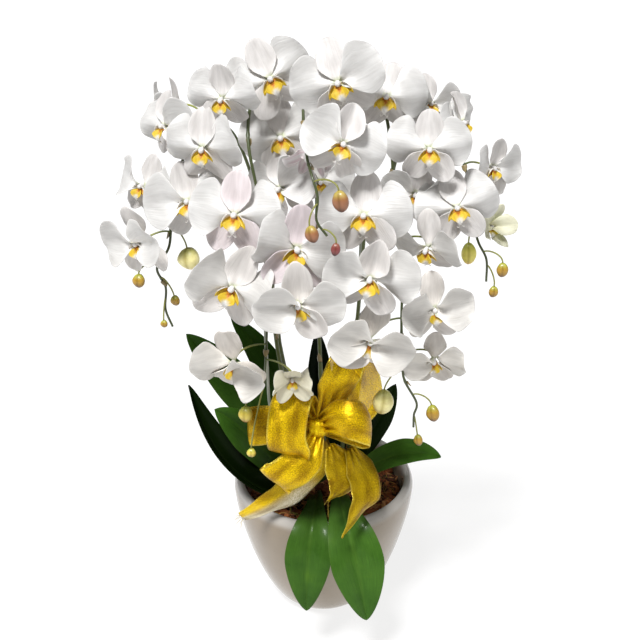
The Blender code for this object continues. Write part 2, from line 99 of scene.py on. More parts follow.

# Leaves: midrib control points, greatest width, fold in degrees, way the upper face looks, shade. A leaf's
# shade scales its colours: a little of it is the leaf's own tone, most is painted shade for leaves in shadow
# and painted light for the lit front leaves.
LEAVES = {
    "left_high": (
        [(-32, 8, 151), (-55, 4, 215), (-105, 6, 275), (-142, 2, 325)],
        48, 25, (0.3, -0.8, 0.5), 0.75),
    "left_long": (
        [(-22, -34, 153), (-70, -62, 158), (-120, -62, 205), (-137, -42, 290)],
        46, 50, (0.5, -0.5, 0.8), 0.1),
    "left_bright": (
        [(-32, -24, 153), (-56, -40, 205), (-84, -54, 250), (-110, -60, 272)],
        42, 22, (0.1, -0.8, 0.55), 0.9),
    "back_left": (
        [(-26, 24, 151), (-30, 30, 210), (-60, 36, 285), (-98, 34, 328)],
        36, 22, (0.2, -0.9, 0.4), 0.6),
    "back_upright": (
        [(-8, 34, 151), (-4, 46, 200), (-4, 52, 255), (-7, 50, 305)],
        30, 25, (0.1, -1.0, 0.2), 0.05),
    "back_right": (
        [(16, 34, 151), (12, 46, 210), (24, 58, 275), (53, 66, 330)],
        40, 22, (0.3, -0.9, 0.3), 0.2),
    "right_dark": (
        [(28, 2, 151), (46, 10, 190), (66, 10, 228), (76, 4, 264)],
        31, 22, (-0.2, -0.9, 0.4), 0.16),
    "right_low": (
        [(30, -14, 151), (52, -30, 190), (86, -42, 218), (122, -46, 205)],
        33, 22, (0.1, -0.5, 0.85), 1.4),
    "front_left": (
        [(-9, -36, 150), (-6, -92, 176), (-18, -122, 160), (-18, -122, 66)],
        50, 18, (-0.1, -0.8, 0.6), 1.1),
    "front_right": (
        [(17, -34, 150), (14, -96, 180), (30, -128, 168), (44, -132, 62)],
        60, 24, (0.1, -0.8, 0.6), 1.25),
    "inner_dark": (
        [(6, -14, 162), (-8, -36, 182), (-24, -54, 184), (-42, -70, 174)],
        30, 18, (0.1, -0.5, 0.85), 0.45),
    "back_long": (
        [(2, 52, 151), (0, 80, 180), (8, 105, 215), (22, 132, 205)],
        48, 22, (0.1, 0.5, 0.85), 1.0),
}
LEAF_THICK = 1.8
MIDRIB_ROUND = 0.07
LEAF_BULGE = 0.10
LEAF_GLOSS = 0.055
SHADED_LEAF_GLOSS = 0.03
# Leaf colours (linear), before each leaf's shade, its own tone and painted light and shade, scales them.
LEAF_ROOT = (0.006, 0.046, 0.001)
LEAF_TIP = (0.015, 0.102, 0.001)
RIB_PALE_AND_HIGHLIGHT = (0.06, 0.15, 0.010)
LEAF_EDGE = (0.04, 0.10, 0.006)
LEAF_UNDER = (0.030, 0.045, 0.012)
# A leaf's outline: width at its root, where it is widest, how late it widens.
UPRIGHT = (0.42, 0.62, 1.2)
ARCHED = (0.34, 0.72, 3.6)

# Flower spikes: radii of stems and stalks, and how far behind its flower a stalk bends.
STEM_R_LOW = 2.4
STEM_R_TIP = 1.1
PEDICEL_R = 1.1
STEM_SIDES = 12
PEDICEL_SIDES = 10
STALK_BEHIND = 22
STALK_SET_BACK = 0.015
# Joints of a stem, in metres along it, and the bracts at them.
JOINT_FIRST, JOINT_STEP = 0.07, 0.052
JOINT_SWELL, JOINT_LENGTH = 0.28, 0.0018
LOW_BRACT, HIGH_BRACT = 0.011, 0.007
LOW_BRACTS_END = 0.35
# Stem colours (linear)
STEM_GREEN = np.array((0.085, 0.11, 0.025))
STEM_DARK = np.array((0.045, 0.06, 0.025))
STALK_PALE = np.array((0.26, 0.27, 0.06))
BRACT_BROWN = (0.26, 0.20, 0.09)
# Painted shade in the grooves between a bud's ridges.
GROOVE_PAINTED_SHADE = (0.55, 0.5, 0.25)
# Each spike: the way up its main stem, then its buds (place, length, width, kind).
SPIKES = {
    "left": (
        [(-12, 4, 149), (-45, 14, 300), (-62, 16, 450), (-85, 8, 535), (-112, -6, 550), (-136, -22, 515),
         (-144, -38, 475), (-147, -50, 446), (-159, -55, 426), (-152, -55, 406), (-153, -58, 384),
         (-147, -60, 366)],
        [((-128, -60, 438), 22, 21, "pale"), ((-177, -58, 414), 14, 12, "brown"),
         ((-143, -60, 394), 11, 9, "brown"), ((-155, -62, 370), 8, 7, "brown")],
    ),
    "front_left": (
        [(-12, -12, 150), (-46, -8, 300), (-54, 0, 420), (-56, 2, 520), (-60, -12, 570), (-67, -34, 577),
         (-68, -66, 552), (-58, -84, 500), (-54, -88, 440), (-54, -88, 385), (-56, -88, 345),
         (-58, -89, 316)],
        [((-77, -92, 286), 17, 14, "yellow"), ((-72, -102, 248), 10, 9, "yellow")],
    ),
    "centre": (
        [(2, 4, 150), (-6, 24, 350), (-8, 26, 520), (-12, 12, 594), (-16, -12, 604), (-19, -44, 588),
         (-18, -76, 566), (-15, -104, 552), (-11, -124, 544), (-6, -134, 528), (-7, -140, 510),
         (2, -142, 496)],
        [((13, -148, 530), 20, 14, "pink"), ((-11, -148, 500), 16, 12, "pink"),
         ((9, -148, 486), 12, 8, "red")],
    ),
    "front_right": (
        [(16, -6, 150), (34, 10, 330), (42, 12, 470), (46, 2, 550), (56, -20, 566), (62, -32, 535),
         (67, -40, 490), (74, -66, 440), (73, -82, 390), (75, -88, 340), (78, -90, 322), (90, -90, 298),
         (88, -90, 284), (88, -90, 270)],
        [((56, -95, 302), 26, 20, "pale"), ((106, -92, 287), 18, 13, "brown"),
         ((93, -92, 256), 12, 9, "brown")],
    ),
    "right": (
        [(24, 14, 150), (48, 26, 330), (66, 28, 480), (84, 18, 550), (104, 12, 550), (126, -18, 530),
         (138, -32, 495), (142, -44, 464), (146, -50, 450), (154, -53, 434), (155, -55, 412)],
        [((136, -55, 441), 23, 14, "green"), ((169, -55, 424), 15, 11, "brown"),
         ((162, -55, 401), 12, 9, "brown")],
    ),
}
# Bud colours (linear): at its stalk, round its middle, at its point.
BUDS = {
    "pale": ((0.60, 0.60, 0.18), (0.95, 0.88, 0.42), (0.90, 0.78, 0.36)),
    "green": ((0.50, 0.52, 0.08), (0.82, 0.74, 0.14), (0.72, 0.46, 0.10)),
    "yellow": ((0.46, 0.50, 0.08), (0.72, 0.58, 0.10), (0.36, 0.15, 0.03)),
    "brown": ((0.40, 0.42, 0.06), (0.44, 0.26, 0.03), (0.12, 0.025, 0.006)),
    "pink": ((0.52, 0.42, 0.10), (0.34, 0.14, 0.06), (0.08, 0.012, 0.006)),
    "red": ((0.32, 0.12, 0.08), (0.24, 0.05, 0.05), (0.04, 0.004, 0.005)),
}

# Flowers, numbered down the spike that carries them: place, then the degrees that each looks to +X and up
# and turns clockwise, its width and its form.
SPRAYS = {
    "left": [
        ((-90, -68, 595), -14, -8, -5, 66, "open"),
        ((-108, -72, 551), -15, -5, -4, 76, "open"),
        ((-147, -22, 555), -45, 10, -8, 70, "open"),
        ((-125, -70, 499), 0, 18, -8, 80, "open"),
        ((-170, -32, 500), -35, 10, 5, 66, "open"),
        ((-173, -60, 455), -32, -5, -16, 76, "cupped"),
        ((-146, 22, 560), -70, -15, 0, 64, "open"),
    ],
    "front_left": [
        ((-49, -30, 602), 5, 10, -24, 82, "open"),
        ((-40, -28, 546), -4, 8, -14, 82, "open"),
        ((-79, -105, 500), -10, 18, 0, 84, "open"),
        ((-83, -118, 436), -8, 2, 22, 86, "cupped"),
        ((-25, -114, 472), 8, 5, 12, 86, "cupped"),
        ((-24, -137, 430), 4, -12, 2, 84, "cupped"),
        ((-85, -114, 356), -8, -18, -8, 78, "cupped"),
        ((-30, -112, 338), 0, -10, 0, 54, "half"),
    ],
    "centre": [
        ((12, -60, 607), -5, 5, -20, 84, "open"),
        ((15, -105, 566), 8, 12, 24, 76, "open"),
        ((-40, -55, 506), -25, 5, -22, 76, "open"),
        ((-4, -46, 510), 5, 0, 10, 62, "open"),
        ((-10, -72, 550), -20, -40, 0, 56, "half"),
    ],
    "front_right": [
        ((56, -42, 589), -8, 12, 4, 76, "swept"),
        ((84, -54, 501), -5, -5, 12, 66, "open"),
        ((35, -105, 500), -8, 14, -2, 84, "open"),
        ((94, -87, 461), -26, -22, -6, 72, "open"),
        ((40, -130, 451), -6, 0, 10, 84, "cupped"),
        ((101, -98, 404), 12, 4, -4, 72, "cupped"),
        ((42, -120, 384), 0, -8, 14, 84, "cupped"),
        ((106, -82, 342), -5, -20, 4, 66, "cupped"),
    ],
    "right": [
        ((98, -3, 571), 24, 10, 8, 60, "open"),
        ((126, -20, 558), 60, 5, 0, 62, "open"),
        ((93, -74, 551), 0, 5, 2, 74, "open"),
        ((120, -77, 496), 0, 16, -12, 76, "open"),
        ((158, -13, 512), 38, 0, 6, 66, "cupped"),
        ((158, -30, 458), 30, 24, 20, 56, "half"),
    ],
}
FLOWERS = {f"flower_{spike}_{i}": row for spike, rows in SPRAYS.items() for i, row in enumerate(rows, 1)}

# Each form: how far the petals and then the sepals lean forward, in degrees, and their breadth.
FORMS = {"open": (4, -8, 1), "cupped": (22, 8, 1), "swept": (-12, -22, 1), "half": (52, 46, 0.62)}

# One part of a flower in flower widths: turn from upright, length, width, lift at its root, whether broad.
PETAL = (82, 0.52, 0.60, 0.03, True)
DORSAL_SEPAL = (0, 0.48, 0.33, -0.02, False)
SIDE_SEPAL = (144, 0.47, 0.31, -0.02, False)
TEPAL_THICK = 0.009
PETAL_GRID, SEPAL_GRID = 17, 11
# How a part widens: share of its width at the root, what it gains, and by what share of its length.
PETAL_CLAW = (0.30, 0.76, 0.62)
SEPAL_CLAW = (0.55, 0.47, 0.4)
PETAL_UPPER_SIDE = 0.10
# Random spreads, in degrees: turn, and lean forward.
TURN_SPREAD = 4
PETAL_SPREAD = (-14, 8)
SEPAL_SPREAD = (-9, 9)
# Ruffles: depth, how steeply they rise to the edge, how many go round.
RUFFLES = [(0.026, 3, 3), (0.013, 4, 5), (0.006, 5, 9)]

# The lip in flower widths: its middle line and half widths along it, ears (inner, outer edge), tendrils.
LIP_LINE = [(0, -0.03, 0.03), (0, -0.055, 0.08), (0, -0.098, 0.118), (0, -0.15, 0.124), (0, -0.20, 0.098)]
LIP_HALF_WIDTHS = [(0, 0.03), (0.2, 0.04), (0.42, 0.085), (0.56, 0.10), (0.74, 0.045), (1, 0.022)]
EAR_EDGES = [
    [(0.014, -0.005, 0.03), (0.024, -0.045, 0.06), (0.036, -0.085, 0.088)],
    [(0.062, 0.020, 0.108), (0.135, -0.040, 0.104), (0.132, -0.135, 0.088)],
]
TENDRIL = [(0.008, -0.19, 0.10), (0.02, -0.225, 0.08), (0.05, -0.235, 0.09), (0.045, -0.205, 0.115)]
CALLUS = [(0, -0.032, 0.05), (0, -0.042, 0.066), (0, -0.052, 0.082), (0, -0.058, 0.09)]
CALLUS_RADII = [0.012, 0.026, 0.022, 0.006]
COLUMN_LINE = [(0, 0.0, -0.03), (0, 0.008, 0.03), (0, 0.008, 0.07), (0, -0.012, 0.112)]

# Flower colours (linear); below the upper of two heights in millimetres the flowers take a warm painted
# shade, in full below the lower one.
WHITE = (0.63, 0.622, 0.61)
LOW_PAINTED_SHADE = (0.99, 0.965, 0.92)
PAINTED_SHADE_HEIGHTS = (340, 500)
PALEST = 0.86
ROOT_GREEN = (0.56, 0.60, 0.40)
TINTS = {
    "flower_front_left_8": (0.86, 0.85, 0.72),
    "flower_right_6": (0.62, 0.70, 0.20),
    "flower_centre_5": (0.70, 0.67, 0.67),
}
OUTSIDES = {"flower_right_6": (0.66, 0.62, 0.58), "flower_front_left_8": (0.70, 0.66, 0.50)}
BLUSH = (1.0, 0.975, 0.97)
BLUSHES = {"flower_front_left_3": (1.0, 0.91, 0.94), "flower_front_left_5": (1.0, 0.90, 0.95)}
VEINED = "flower_centre_5"
VEIN_PINK = (0.50, 0.22, 0.32)
YOUNG = "flower_front_left_8"
YOUNG_BREADTH = 0.9
YELLOW = (0.72, 0.50, 0.03)
THROAT = (0.50, 0.11, 0.012)
LIP_WHITE = (0.80, 0.78, 0.74)
COLUMN_WHITE = (0.78, 0.76, 0.75)

# Stakes: path and colour (linear).
STAKE_R = 1.6
STAKES = {
    "left": ([(-30, -4, 151), (-54, -22, 240), (-58, -22, 300), (-60, -20, 372)], (0.38, 0.40, 0.34)),
    "right": ([(26, 20, 151), (34, 28, 250), (36, 30, 340), (38, 32, 430)], (0.30, 0.32, 0.27)),
}

# Ribbon, from the centre of the bow. Each row has a path and the ways across the ribbon at its start and
# end. A loop's last value is how far it bulges in widths. A tail's are where its slanted cut starts, the
# side that its point is on, how much of its width the cut takes, and the lengths of its loose threads.
RIBBON_WIDTH = 38
TAIL_WIDTH = 34
RIBBON_THICK = 0.35
KNOT = (-5, -94, 274)
LOOPS = {
    "top": (
        [(2, 1, 3), (13, 0, 34), (20, -6, 56), (28, 0, 68), (40, 14, 50), (46, 18, 12), (26, 11, -6),
         (2, 2, -2)],
        (0.95, 0.1, -0.15), (0.75, 0.6, 0.0), -0.08),
    "right": (
        [(1, -1, 2), (18, -18, 19), (34, -24, 21), (45, -16, 9), (38, -4, -2), (2, 0, -2)],
        (-0.15, 0.4, 0.9), (-0.1, 0.35, 0.9), 0.18),
    "left": (
        [(-1, 1, 3), (-16, 0, 28), (-26, -12, 34), (-31, -26, 14), (-30, -27, -6), (-20, -14, -18),
         (-1, -1, -3)],
        (1.0, -0.1, 0.1), (0.9, 0.2, -0.2), 0.16),
    "far_left": (
        [(-1, -1, 1), (-34, 1, 2), (-60, 3, -3), (-68, 12, -8), (-58, 22, -12), (-32, 17, -10),
         (-2, 2, -2)],
        (0.0, 0.3, 1.0), (0.0, 0.3, 1.0), -0.10),
    "lower": (
        [(-1, -2, -2), (-12, -20, -22), (-28, -28, -36), (-42, -22, -49), (-36, -9, -50), (-1, -1, -4)],
        (0.7, -0.2, -0.7), (0.7, 0.1, -0.7), 0.08),
}
TAILS = {
    "left": (
        [(3, 2, -17), (0, 2, -36), (-13, 2, -58), (-31, 2, -80), (-55, 2, -96), (-80, 2, -110)],
        (1.0, 0.0, 0.0), (0.5, 0.2, -0.8), (0.62, 0.2, 0.55), (9, 6, 7, 5, 8, 6)),
    "middle": (
        [(10, -10, -17), (19, -14, -35), (24, -20, -49), (20, -27, -61), (13, -31, -70)],
        (0.8, 0.6, 0.1), (0.8, 0.5, 0.2), (0.55, -0.5, 0.93), (13, 5)),
    "right": (
        [(30, -4, -23), (41, -10, -46), (47, -20, -65), (41, -28, -83), (30, -34, -110)],
        (0.8, 0.6, 0.0), (0.75, 0.55, 0.2), (0.55, -0.7, 0.9), ()),
}
LOOP_WAISTS, TAIL_WAISTS = (0.35, 0.35), (0.35, 0.9)
TAIL_PUFF = 0.04
UNCUT = (1, 0, 0)
TAIL_GRAIN = 9
THREAD_R = 0.18
THREAD_STEP = 0.9
KNOT_TILT = (0.0, -0.25, 1.0)
KNOT_DEPTH, KNOT_HEIGHT, KNOT_REACH, KNOT_THICK = 10.5, 10.0, 9.5, 0.4
# Ribbon colours (linear)
RIBBON_GOLD = np.array((0.76, 0.49, 0.003))
SELVEDGE_GOLD = (0.92, 0.70, 0.08)
# Painted light showing through the sheer end of the left tail.
PAINTED_SHOW_THROUGH = (0.78, 0.72, 0.52)
THREAD_GOLD = (0.70, 0.52, 0.08)
# Painted shade: the tails are darker than the loops.
TAIL_SHADE = 0.68


# -------- geometry helpers


def unit(v):
    return v / np.maximum(np.linalg.norm(v, axis=-1, keepdims=True), 1e-12)


def smooth_path(controls, count):
    """Points along a Catmull-Rom curve through the controls."""
    controls = np.array(controls, float)
    ends = np.vstack([2 * controls[0] - controls[1], controls, 2 * controls[-1] - controls[-2]])
    at = np.linspace(0, len(controls) - 1, count)
    k = np.minimum(at.astype(int), len(controls) - 2)
    t = (at - k)[:, None]
    a, b, c, d = ends[k], ends[k + 1], ends[k + 2], ends[k + 3]
    return 0.5 * (2 * b + (c - a) * t + (2 * a - 5 * b + 4 * c - d) * t**2 + (3 * b - a - 3 * c + d) * t**3)


def bezier(controls, t):
    a, b, c, d = (np.array(p, float) for p in controls)
    t = np.asarray(t)[:, None]
    s = 1 - t
    return a * s**3 + 3 * b * s * s * t + 3 * c * s * t * t + d * t**3


def directions(path):
    return unit(np.gradient(path, axis=0))


def run_along(path):
    """How far along the path each of its points lies."""
    return np.concatenate([[0], np.cumsum(np.linalg.norm(np.diff(path, axis=0), axis=1))])


def smoothstep(x, low, high):
    t = np.clip((x - low) / (high - low), 0, 1)
    return t * t * (3 - 2 * t)


def mix(a, b, share):
    share = np.asarray(share)[..., None]
    return np.asarray(a) * (1 - share) + np.asarray(b) * share


def sheet_grid(t, s):
    return np.meshgrid(t, s, indexing="ij")


def disc_grid(count):
    """A square grid pulled into a disc, so that an oval outline has no pinched rows."""
    full = math.pi / 2 * 0.92
    line = np.sin(np.linspace(-1, 1, count) * full) / math.sin(full)
    a, b = np.meshgrid(line, line)
    return a * np.sqrt(1 - b * b / 2), b * np.sqrt(1 - a * a / 2)


def grain_at(u, v, seed):
    """Where a surface's pattern is read, for each point of a grid."""
    return np.stack([u, v, np.full_like(u, seed)], -1)


def both(grid):
    """The same values for the upper and the lower face of a shell."""
    flat = np.asarray(grid, float)
    flat = flat.reshape(-1, flat.shape[-1])
    return np.vstack([flat, flat])


class Build:
    """Collects closed shapes for one mesh, with a colour and a grain coordinate at every point."""

    def __init__(self):
        self.points, self.faces, self.tints, self.grains, self.count = [], [], [], [], 0

    def add(self, points, faces, tint, grain):
        points = np.asarray(points, float).reshape(-1, 3)
        self.faces += [tuple(i + self.count for i in face) for face in faces]
        self.points.append(points)
        self.tints.append(np.broadcast_to(np.asarray(tint, float), points.shape))
        self.grains.append(np.broadcast_to(np.asarray(grain, float), points.shape))
        self.count += len(points)

    def add_tube(self, tint, *form):
        points, faces, grain = tube(*form)
        self.add(points, faces, tint, grain)

    def add_shell(self, mid, thick, tint, grain):
        """A thin shell whose two faces share a colour and a grain coordinate for each point of its grid."""
        self.add(*shell(mid, thick), both(tint), both(grain))

    def make(self, name, material, node, matrix=None):
        """The mesh as one piece, which rides on the plant's one body and stands for its CAD node."""
        points = np.vstack(self.points)
        if matrix is not None:
            points = points @ np.array(matrix.to_3x3()).T + np.array(matrix.translation)
        mesh = bpy.data.meshes.new(name)
        mesh.from_pydata(points.tolist(), [], self.faces)
        tint = mesh.attributes.new("tint", "FLOAT_COLOR", "POINT")
        rgba = np.ones((self.count, 4), np.float32)
        rgba[:, :3] = np.vstack(self.tints)
        tint.data.foreach_set("color", rgba.ravel())
        grain = mesh.attributes.new("grain", "FLOAT_VECTOR", "POINT")
        grain.data.foreach_set("vector", np.vstack(self.grains).astype(np.float32).ravel())
        mesh.polygons.foreach_set("use_smooth", [True] * len(mesh.polygons))
        mesh.materials.append(material)
        mesh.update()
        piece = bpy.data.objects.new(name, mesh)
        bpy.context.scene.collection.objects.link(piece)
        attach(piece, "root")
        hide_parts(node)
        return piece


def grid_faces(index):
    """Faces between neighbours in a grid of point numbers."""
    corners = index[:-1, :-1], index[:-1, 1:], index[1:, 1:], index[1:, :-1]
    return np.stack(corners, -1).reshape(-1, 4).tolist()


def shell(mid, thick):
    """A closed thin shell about a grid of points: the upper face's points, then the lower face's."""
    rows, cols = mid.shape[:2]
    normal = unit(np.cross(np.gradient(mid, axis=1), np.gradient(mid, axis=0)))
    thick = np.broadcast_to(thick, (rows, cols))[..., None]
    points = np.vstack([(mid + way * normal * thick / 2).reshape(-1, 3) for way in (1, -1)])
    count = rows * cols
    index = np.arange(count).reshape(rows, cols)
    faces = grid_faces(index) + [face[::-1] for face in grid_faces(index + count)]
    rim = [*index[0, :-1], *index[:-1, -1], *index[-1, :0:-1], *index[:0:-1, 0]]
    faces += [(q, p, p + count, q + count) for p, q in zip(rim, rim[1:] + rim[:1])]
    return points, faces


def ring_faces(rings, sides):
    """Faces of a stack of rings, closed by a cap at each end."""
    index = np.arange(rings * sides).reshape(rings, sides)
    return grid_faces(np.column_stack([index, index[:, 0]])) + [index[0, ::-1].tolist(), index[-1].tolist()]


def tube(path, radii, sides, ridges=0, ridge_depth=0.0):
    """A closed tube along a path, with flat ends; `ridges` run along it."""
    path = np.asarray(path, float)
    along = directions(path)
    side = unit(np.cross(along[0], [0.31, 0.52, 0.8]))
    points, grain = [], []
    turn = 2 * math.pi * np.arange(sides) / sides
    shape = 1 + ridge_depth * np.cos(ridges * turn)
    for centre, way, radius, run in zip(path, along, radii, run_along(path)):
        side = unit(side - way * side.dot(way))
        ring = np.cos(turn)[:, None] * side + np.sin(turn)[:, None] * np.cross(way, side)
        points.append(centre + radius * shape[:, None] * ring)
        grain.append(grain_at(np.full(sides, run * 20), turn / math.pi, 0))
    return np.vstack(points), ring_faces(len(path), sides), np.vstack(grain)


# -------- materials


class Paint:
    """A Principled material whose colour, roughness and bumps come from attributes and noise."""

    def __init__(self, name, **values):
        self.material = bpy.data.materials.new(name)
        self.material.use_nodes = True
        self.tree = self.material.node_tree
        self.shader = self.tree.nodes["Principled BSDF"]
        for socket, value in values.items():
            self.shader.inputs[socket.replace("_", " ")].default_value = value

    def node(self, kind, sources, **values):
        """A new node: `sources` are linked to its sockets and `values` set on them."""
        made = self.tree.nodes.new("ShaderNode" + kind)
        for socket, source in sources.items():
            self.tree.links.new(source, made.inputs[socket])
        for socket, value in values.items():
            made.inputs[socket.replace("_", " ")].default_value = value
        return made

    def attribute(self, name, output):
        made = self.node("Attribute", {})
        made.attribute_name = name
        return made.outputs[output]

    def tint(self):
        return self.attribute("tint", "Color")

    def grain(self):
        return self.attribute("grain", "Vector")

    def place(self):
        return self.node("TexCoord", {}).outputs["Object"]

    def noise(self, vector, scale, detail=3.0, rough=0.5, stretch=None):
        if stretch:
            vector = self.node("Mapping", {"Vector": vector}, Scale=stretch).outputs["Vector"]
        made = self.node("TexNoise", {"Vector": vector}, Scale=scale, Detail=detail, Roughness=rough)
        return made.outputs["Fac"]

    def ramp(self, value, *stops):
        made = self.node("ValToRGB", {"Fac": value})
        elements = made.color_ramp.elements
        elements[0].position = stops[0][0]
        elements[1].position = stops[-1][0]
        for position, _ in stops[1:-1]:
            elements.new(position)
        for element, (_, level) in zip(elements, stops):
            element.color = (level, level, level, 1) if isinstance(level, (int, float)) else (*level, 1)
        return made.outputs["Color"]

    def multiply(self, a, b, share=1.0):
        made = self.node("Mix", {})
        made.data_type = "RGBA"
        made.blend_type = "MULTIPLY"
        made.inputs["Factor"].default_value = share
        self.tree.links.new(a, made.inputs[MIX_A])
        self.tree.links.new(b, made.inputs[MIX_B])
        return made.outputs[MIX_RESULT]

    def math(self, operation, *terms):
        """Each term is a number or another node's output."""
        made = self.node("Math", {})
        made.operation = operation
        for socket, term in zip(made.inputs, terms):
            if isinstance(term, float):
                socket.default_value = term
            else:
                self.tree.links.new(term, socket)
        return made.outputs[0]

    def bump(self, height, strength, distance, under=None):
        sources = {"Height": height} if under is None else {"Height": height, "Normal": under}
        return self.node("Bump", sources, Strength=strength, Distance=distance).outputs["Normal"]

    def finish(self, **sources):
        for socket, source in sources.items():
            self.tree.links.new(source, self.shader.inputs[socket.replace("_", " ")])
        return self.material


def petal_material():
    paint = Paint("petal", Subsurface_Weight=0.1, Subsurface_Scale=0.003, Subsurface_Radius=(1.0, 0.9, 0.85),
                  Specular_IOR_Level=0.4)
    grain = paint.grain()
    streaks = paint.noise(grain, 1.0, 2.0, stretch=(2.2, 26, 1))
    cells = paint.noise(paint.place(), 900, 2.0)
    soft = paint.noise(grain, 1.6, 2.0, stretch=(1.2, 2.2, 1))
    shade = paint.ramp(streaks, (0.3, 0.92), (0.7, 1.0))
    wide = paint.ramp(soft, (0.3, (0.89, 0.885, 0.88)), (0.7, (1.1, 1.1, 1.1)))
    return paint.finish(
        Base_Color=paint.multiply(paint.multiply(paint.tint(), shade), wide),
        Roughness=paint.ramp(soft, (0.3, 0.36), (0.7, 0.52)),
        Normal=paint.bump(cells, 0.12, 0.0002, paint.bump(streaks, 0.5, 0.0007)))


def leaf_material(name, gloss):
    paint = Paint(name, Coat_Weight=gloss, Coat_Roughness=0.12, Specular_IOR_Level=gloss)
    lines = paint.noise(paint.grain(), 1.0, 2.0, stretch=(3, 46, 1))
    patches = paint.noise(paint.place(), 34, 4.0, 0.6)
    shade = paint.ramp(lines, (0.3, 0.8), (0.7, 1.08))
    worn = paint.ramp(patches, (0.3, (0.72, 0.78, 0.7)), (0.62, (1.06, 1.04, 1.0)), (0.8, (1.35, 1.22, 0.95)))
    return paint.finish(
        Base_Color=paint.multiply(paint.multiply(paint.tint(), shade), worn),
        Roughness=paint.ramp(patches, (0.3, 0.24), (0.75, 0.42)),
        Normal=paint.bump(patches, 0.15, 0.002, paint.bump(lines, 0.25, 0.0006)))


def stem_material():
    paint = Paint("stem", Roughness=0.36, Coat_Weight=0.2, Coat_Roughness=0.2)
    place = paint.place()
    blotches = paint.noise(place, 160, 4.0, 0.6)
    fine = paint.noise(place, 1500, 2.0, stretch=(1, 1, 0.15))
    shade = paint.ramp(blotches, (0.3, (0.84, 0.8, 0.72)), (0.55, (1, 1, 1)), (0.8, (1.12, 1.08, 0.92)))
    fibres = paint.bump(fine, 0.3, 0.0004)
    return paint.finish(Base_Color=paint.multiply(paint.tint(), shade), Normal=fibres)


def glaze_material():
    paint = Paint("glaze", Coat_Weight=0.3, Coat_Roughness=0.06, Specular_IOR_Level=0.35)
    place = paint.place()
    cloud = paint.noise(place, 9, 4.0, 0.55)
    specks = paint.noise(place, 700, 1.0)
    ripple = paint.noise(place, 28, 2.0)
    clouds = (0.3, (0.66, 0.62, 0.57)), (0.55, (0.76, 0.73, 0.69)), (0.8, (0.84, 0.82, 0.79))
    dots = paint.ramp(specks, (0.24, (0.7, 0.62, 0.52)), (0.3, (1, 1, 1)))
    return paint.finish(
        Base_Color=paint.multiply(paint.multiply(paint.ramp(cloud, *clouds), dots, 0.6), paint.tint()),
        Roughness=paint.ramp(cloud, (0.3, 0.1), (0.7, 0.2)),
        Normal=paint.bump(specks, 0.04, 0.0006, paint.bump(ripple, 0.12, 0.004)))


def bark_material():
    paint = Paint("bark", Roughness=0.85, Specular_IOR_Level=0.25)
    layers = paint.noise(paint.grain(), 260, 5.0, 0.65, stretch=(1, 1, 6))
    shade = paint.ramp(layers, (0.25, (0.45, 0.36, 0.32)), (0.5, (1.1, 0.95, 0.85)), (0.75, (2.1, 1.6, 1.2)))
    flakes = paint.bump(layers, 0.7, 0.0015)
    return paint.finish(Base_Color=paint.multiply(paint.tint(), shade), Normal=flakes)


def stake_material():
    paint = Paint("stake", Roughness=0.5)
    marks = paint.noise(paint.place(), 420, 4.0, 0.6, stretch=(1, 1, 0.2))
    shade = paint.ramp(marks, (0.3, (0.72, 0.74, 0.68)), (0.6, (1, 1, 1)))
    rough = paint.bump(marks, 0.25, 0.0004)
    return paint.finish(Base_Color=paint.multiply(paint.tint(), shade), Normal=rough)


def ribbon_material():
    """Sheer gold organza: shiny crossing threads with gaps between them, with painted glints and painted
    light and shade along its folds. Its grain is in millimetres.
    """
    paint = Paint("organza", Roughness=0.36, Metallic=0.62, Specular_IOR_Level=0.3)
    grain = paint.grain()
    split = paint.node("SeparateXYZ", {0: grain})
    waves = [paint.math("MULTIPLY", split.outputs[axis], 2 * math.pi / THREAD_STEP) for axis in ("X", "Y")]
    weave = paint.math("MAXIMUM", *(paint.math("SINE", wave) for wave in waves))
    threads = paint.ramp(weave, (0.0, 0.55), (0.8, 1.0))
    # Painted glints: bright, bluish-white specks in the gold.
    glint_noise = paint.noise(grain, 1.0, 2.0, stretch=(0.8, 0.8, 1))
    painted_glint = paint.ramp(glint_noise, (0.36, (0.70, 0.66, 0.55)), (0.5, (1, 1, 1)), (0.64, (1.35, 1.4, 1.8)))
    # Painted light and shade along the folds, with bluish-white highlights.
    painted_fold_light = paint.noise(grain, 1.0, 1.0, stretch=(0.028, 0.085, 1))
    shade = paint.ramp(painted_fold_light, (0.34, (0.62, 0.55, 0.45)), (0.5, (1, 1, 1)), (0.66, (1.25, 1.3, 1.5)))
    woven = paint.multiply(paint.multiply(paint.tint(), shade), threads, 0.4)
    crumple = paint.noise(grain, 1.0, 3.0, stretch=(0.22, 0.42, 1))
    cover = paint.node("MapRange", {"Value": weave}, From_Min=-0.6, From_Max=0.9, To_Min=0.42, To_Max=0.94)
    return paint.finish(
        Base_Color=paint.multiply(woven, painted_glint),
        Alpha=cover.outputs["Result"],
        Normal=paint.bump(weave, 0.25, 0.0002, paint.bump(crumple, 0.55, 0.0012)))


# -------- flowers


def flower_matrix(place, yaw, pitch, roll):
    """Local X to the flower's right, Y to its top, Z the way that it looks."""
    yaw, pitch, roll = map(math.radians, (yaw, pitch, roll))
    out = Vector((math.sin(yaw) * math.cos(pitch), -math.cos(yaw) * math.cos(pitch), math.sin(pitch)))
    up = (Vector((0, 0, 1)) - out * out.z).normalized()
    right = up.cross(out)
    up, right = up * math.cos(roll) + right * math.sin(roll), right * math.cos(roll) - up * math.sin(roll)
    turn = Matrix((right, up, out)).transposed().to_4x4()
    return Matrix.Translation(Vector(place) * MM) @ turn


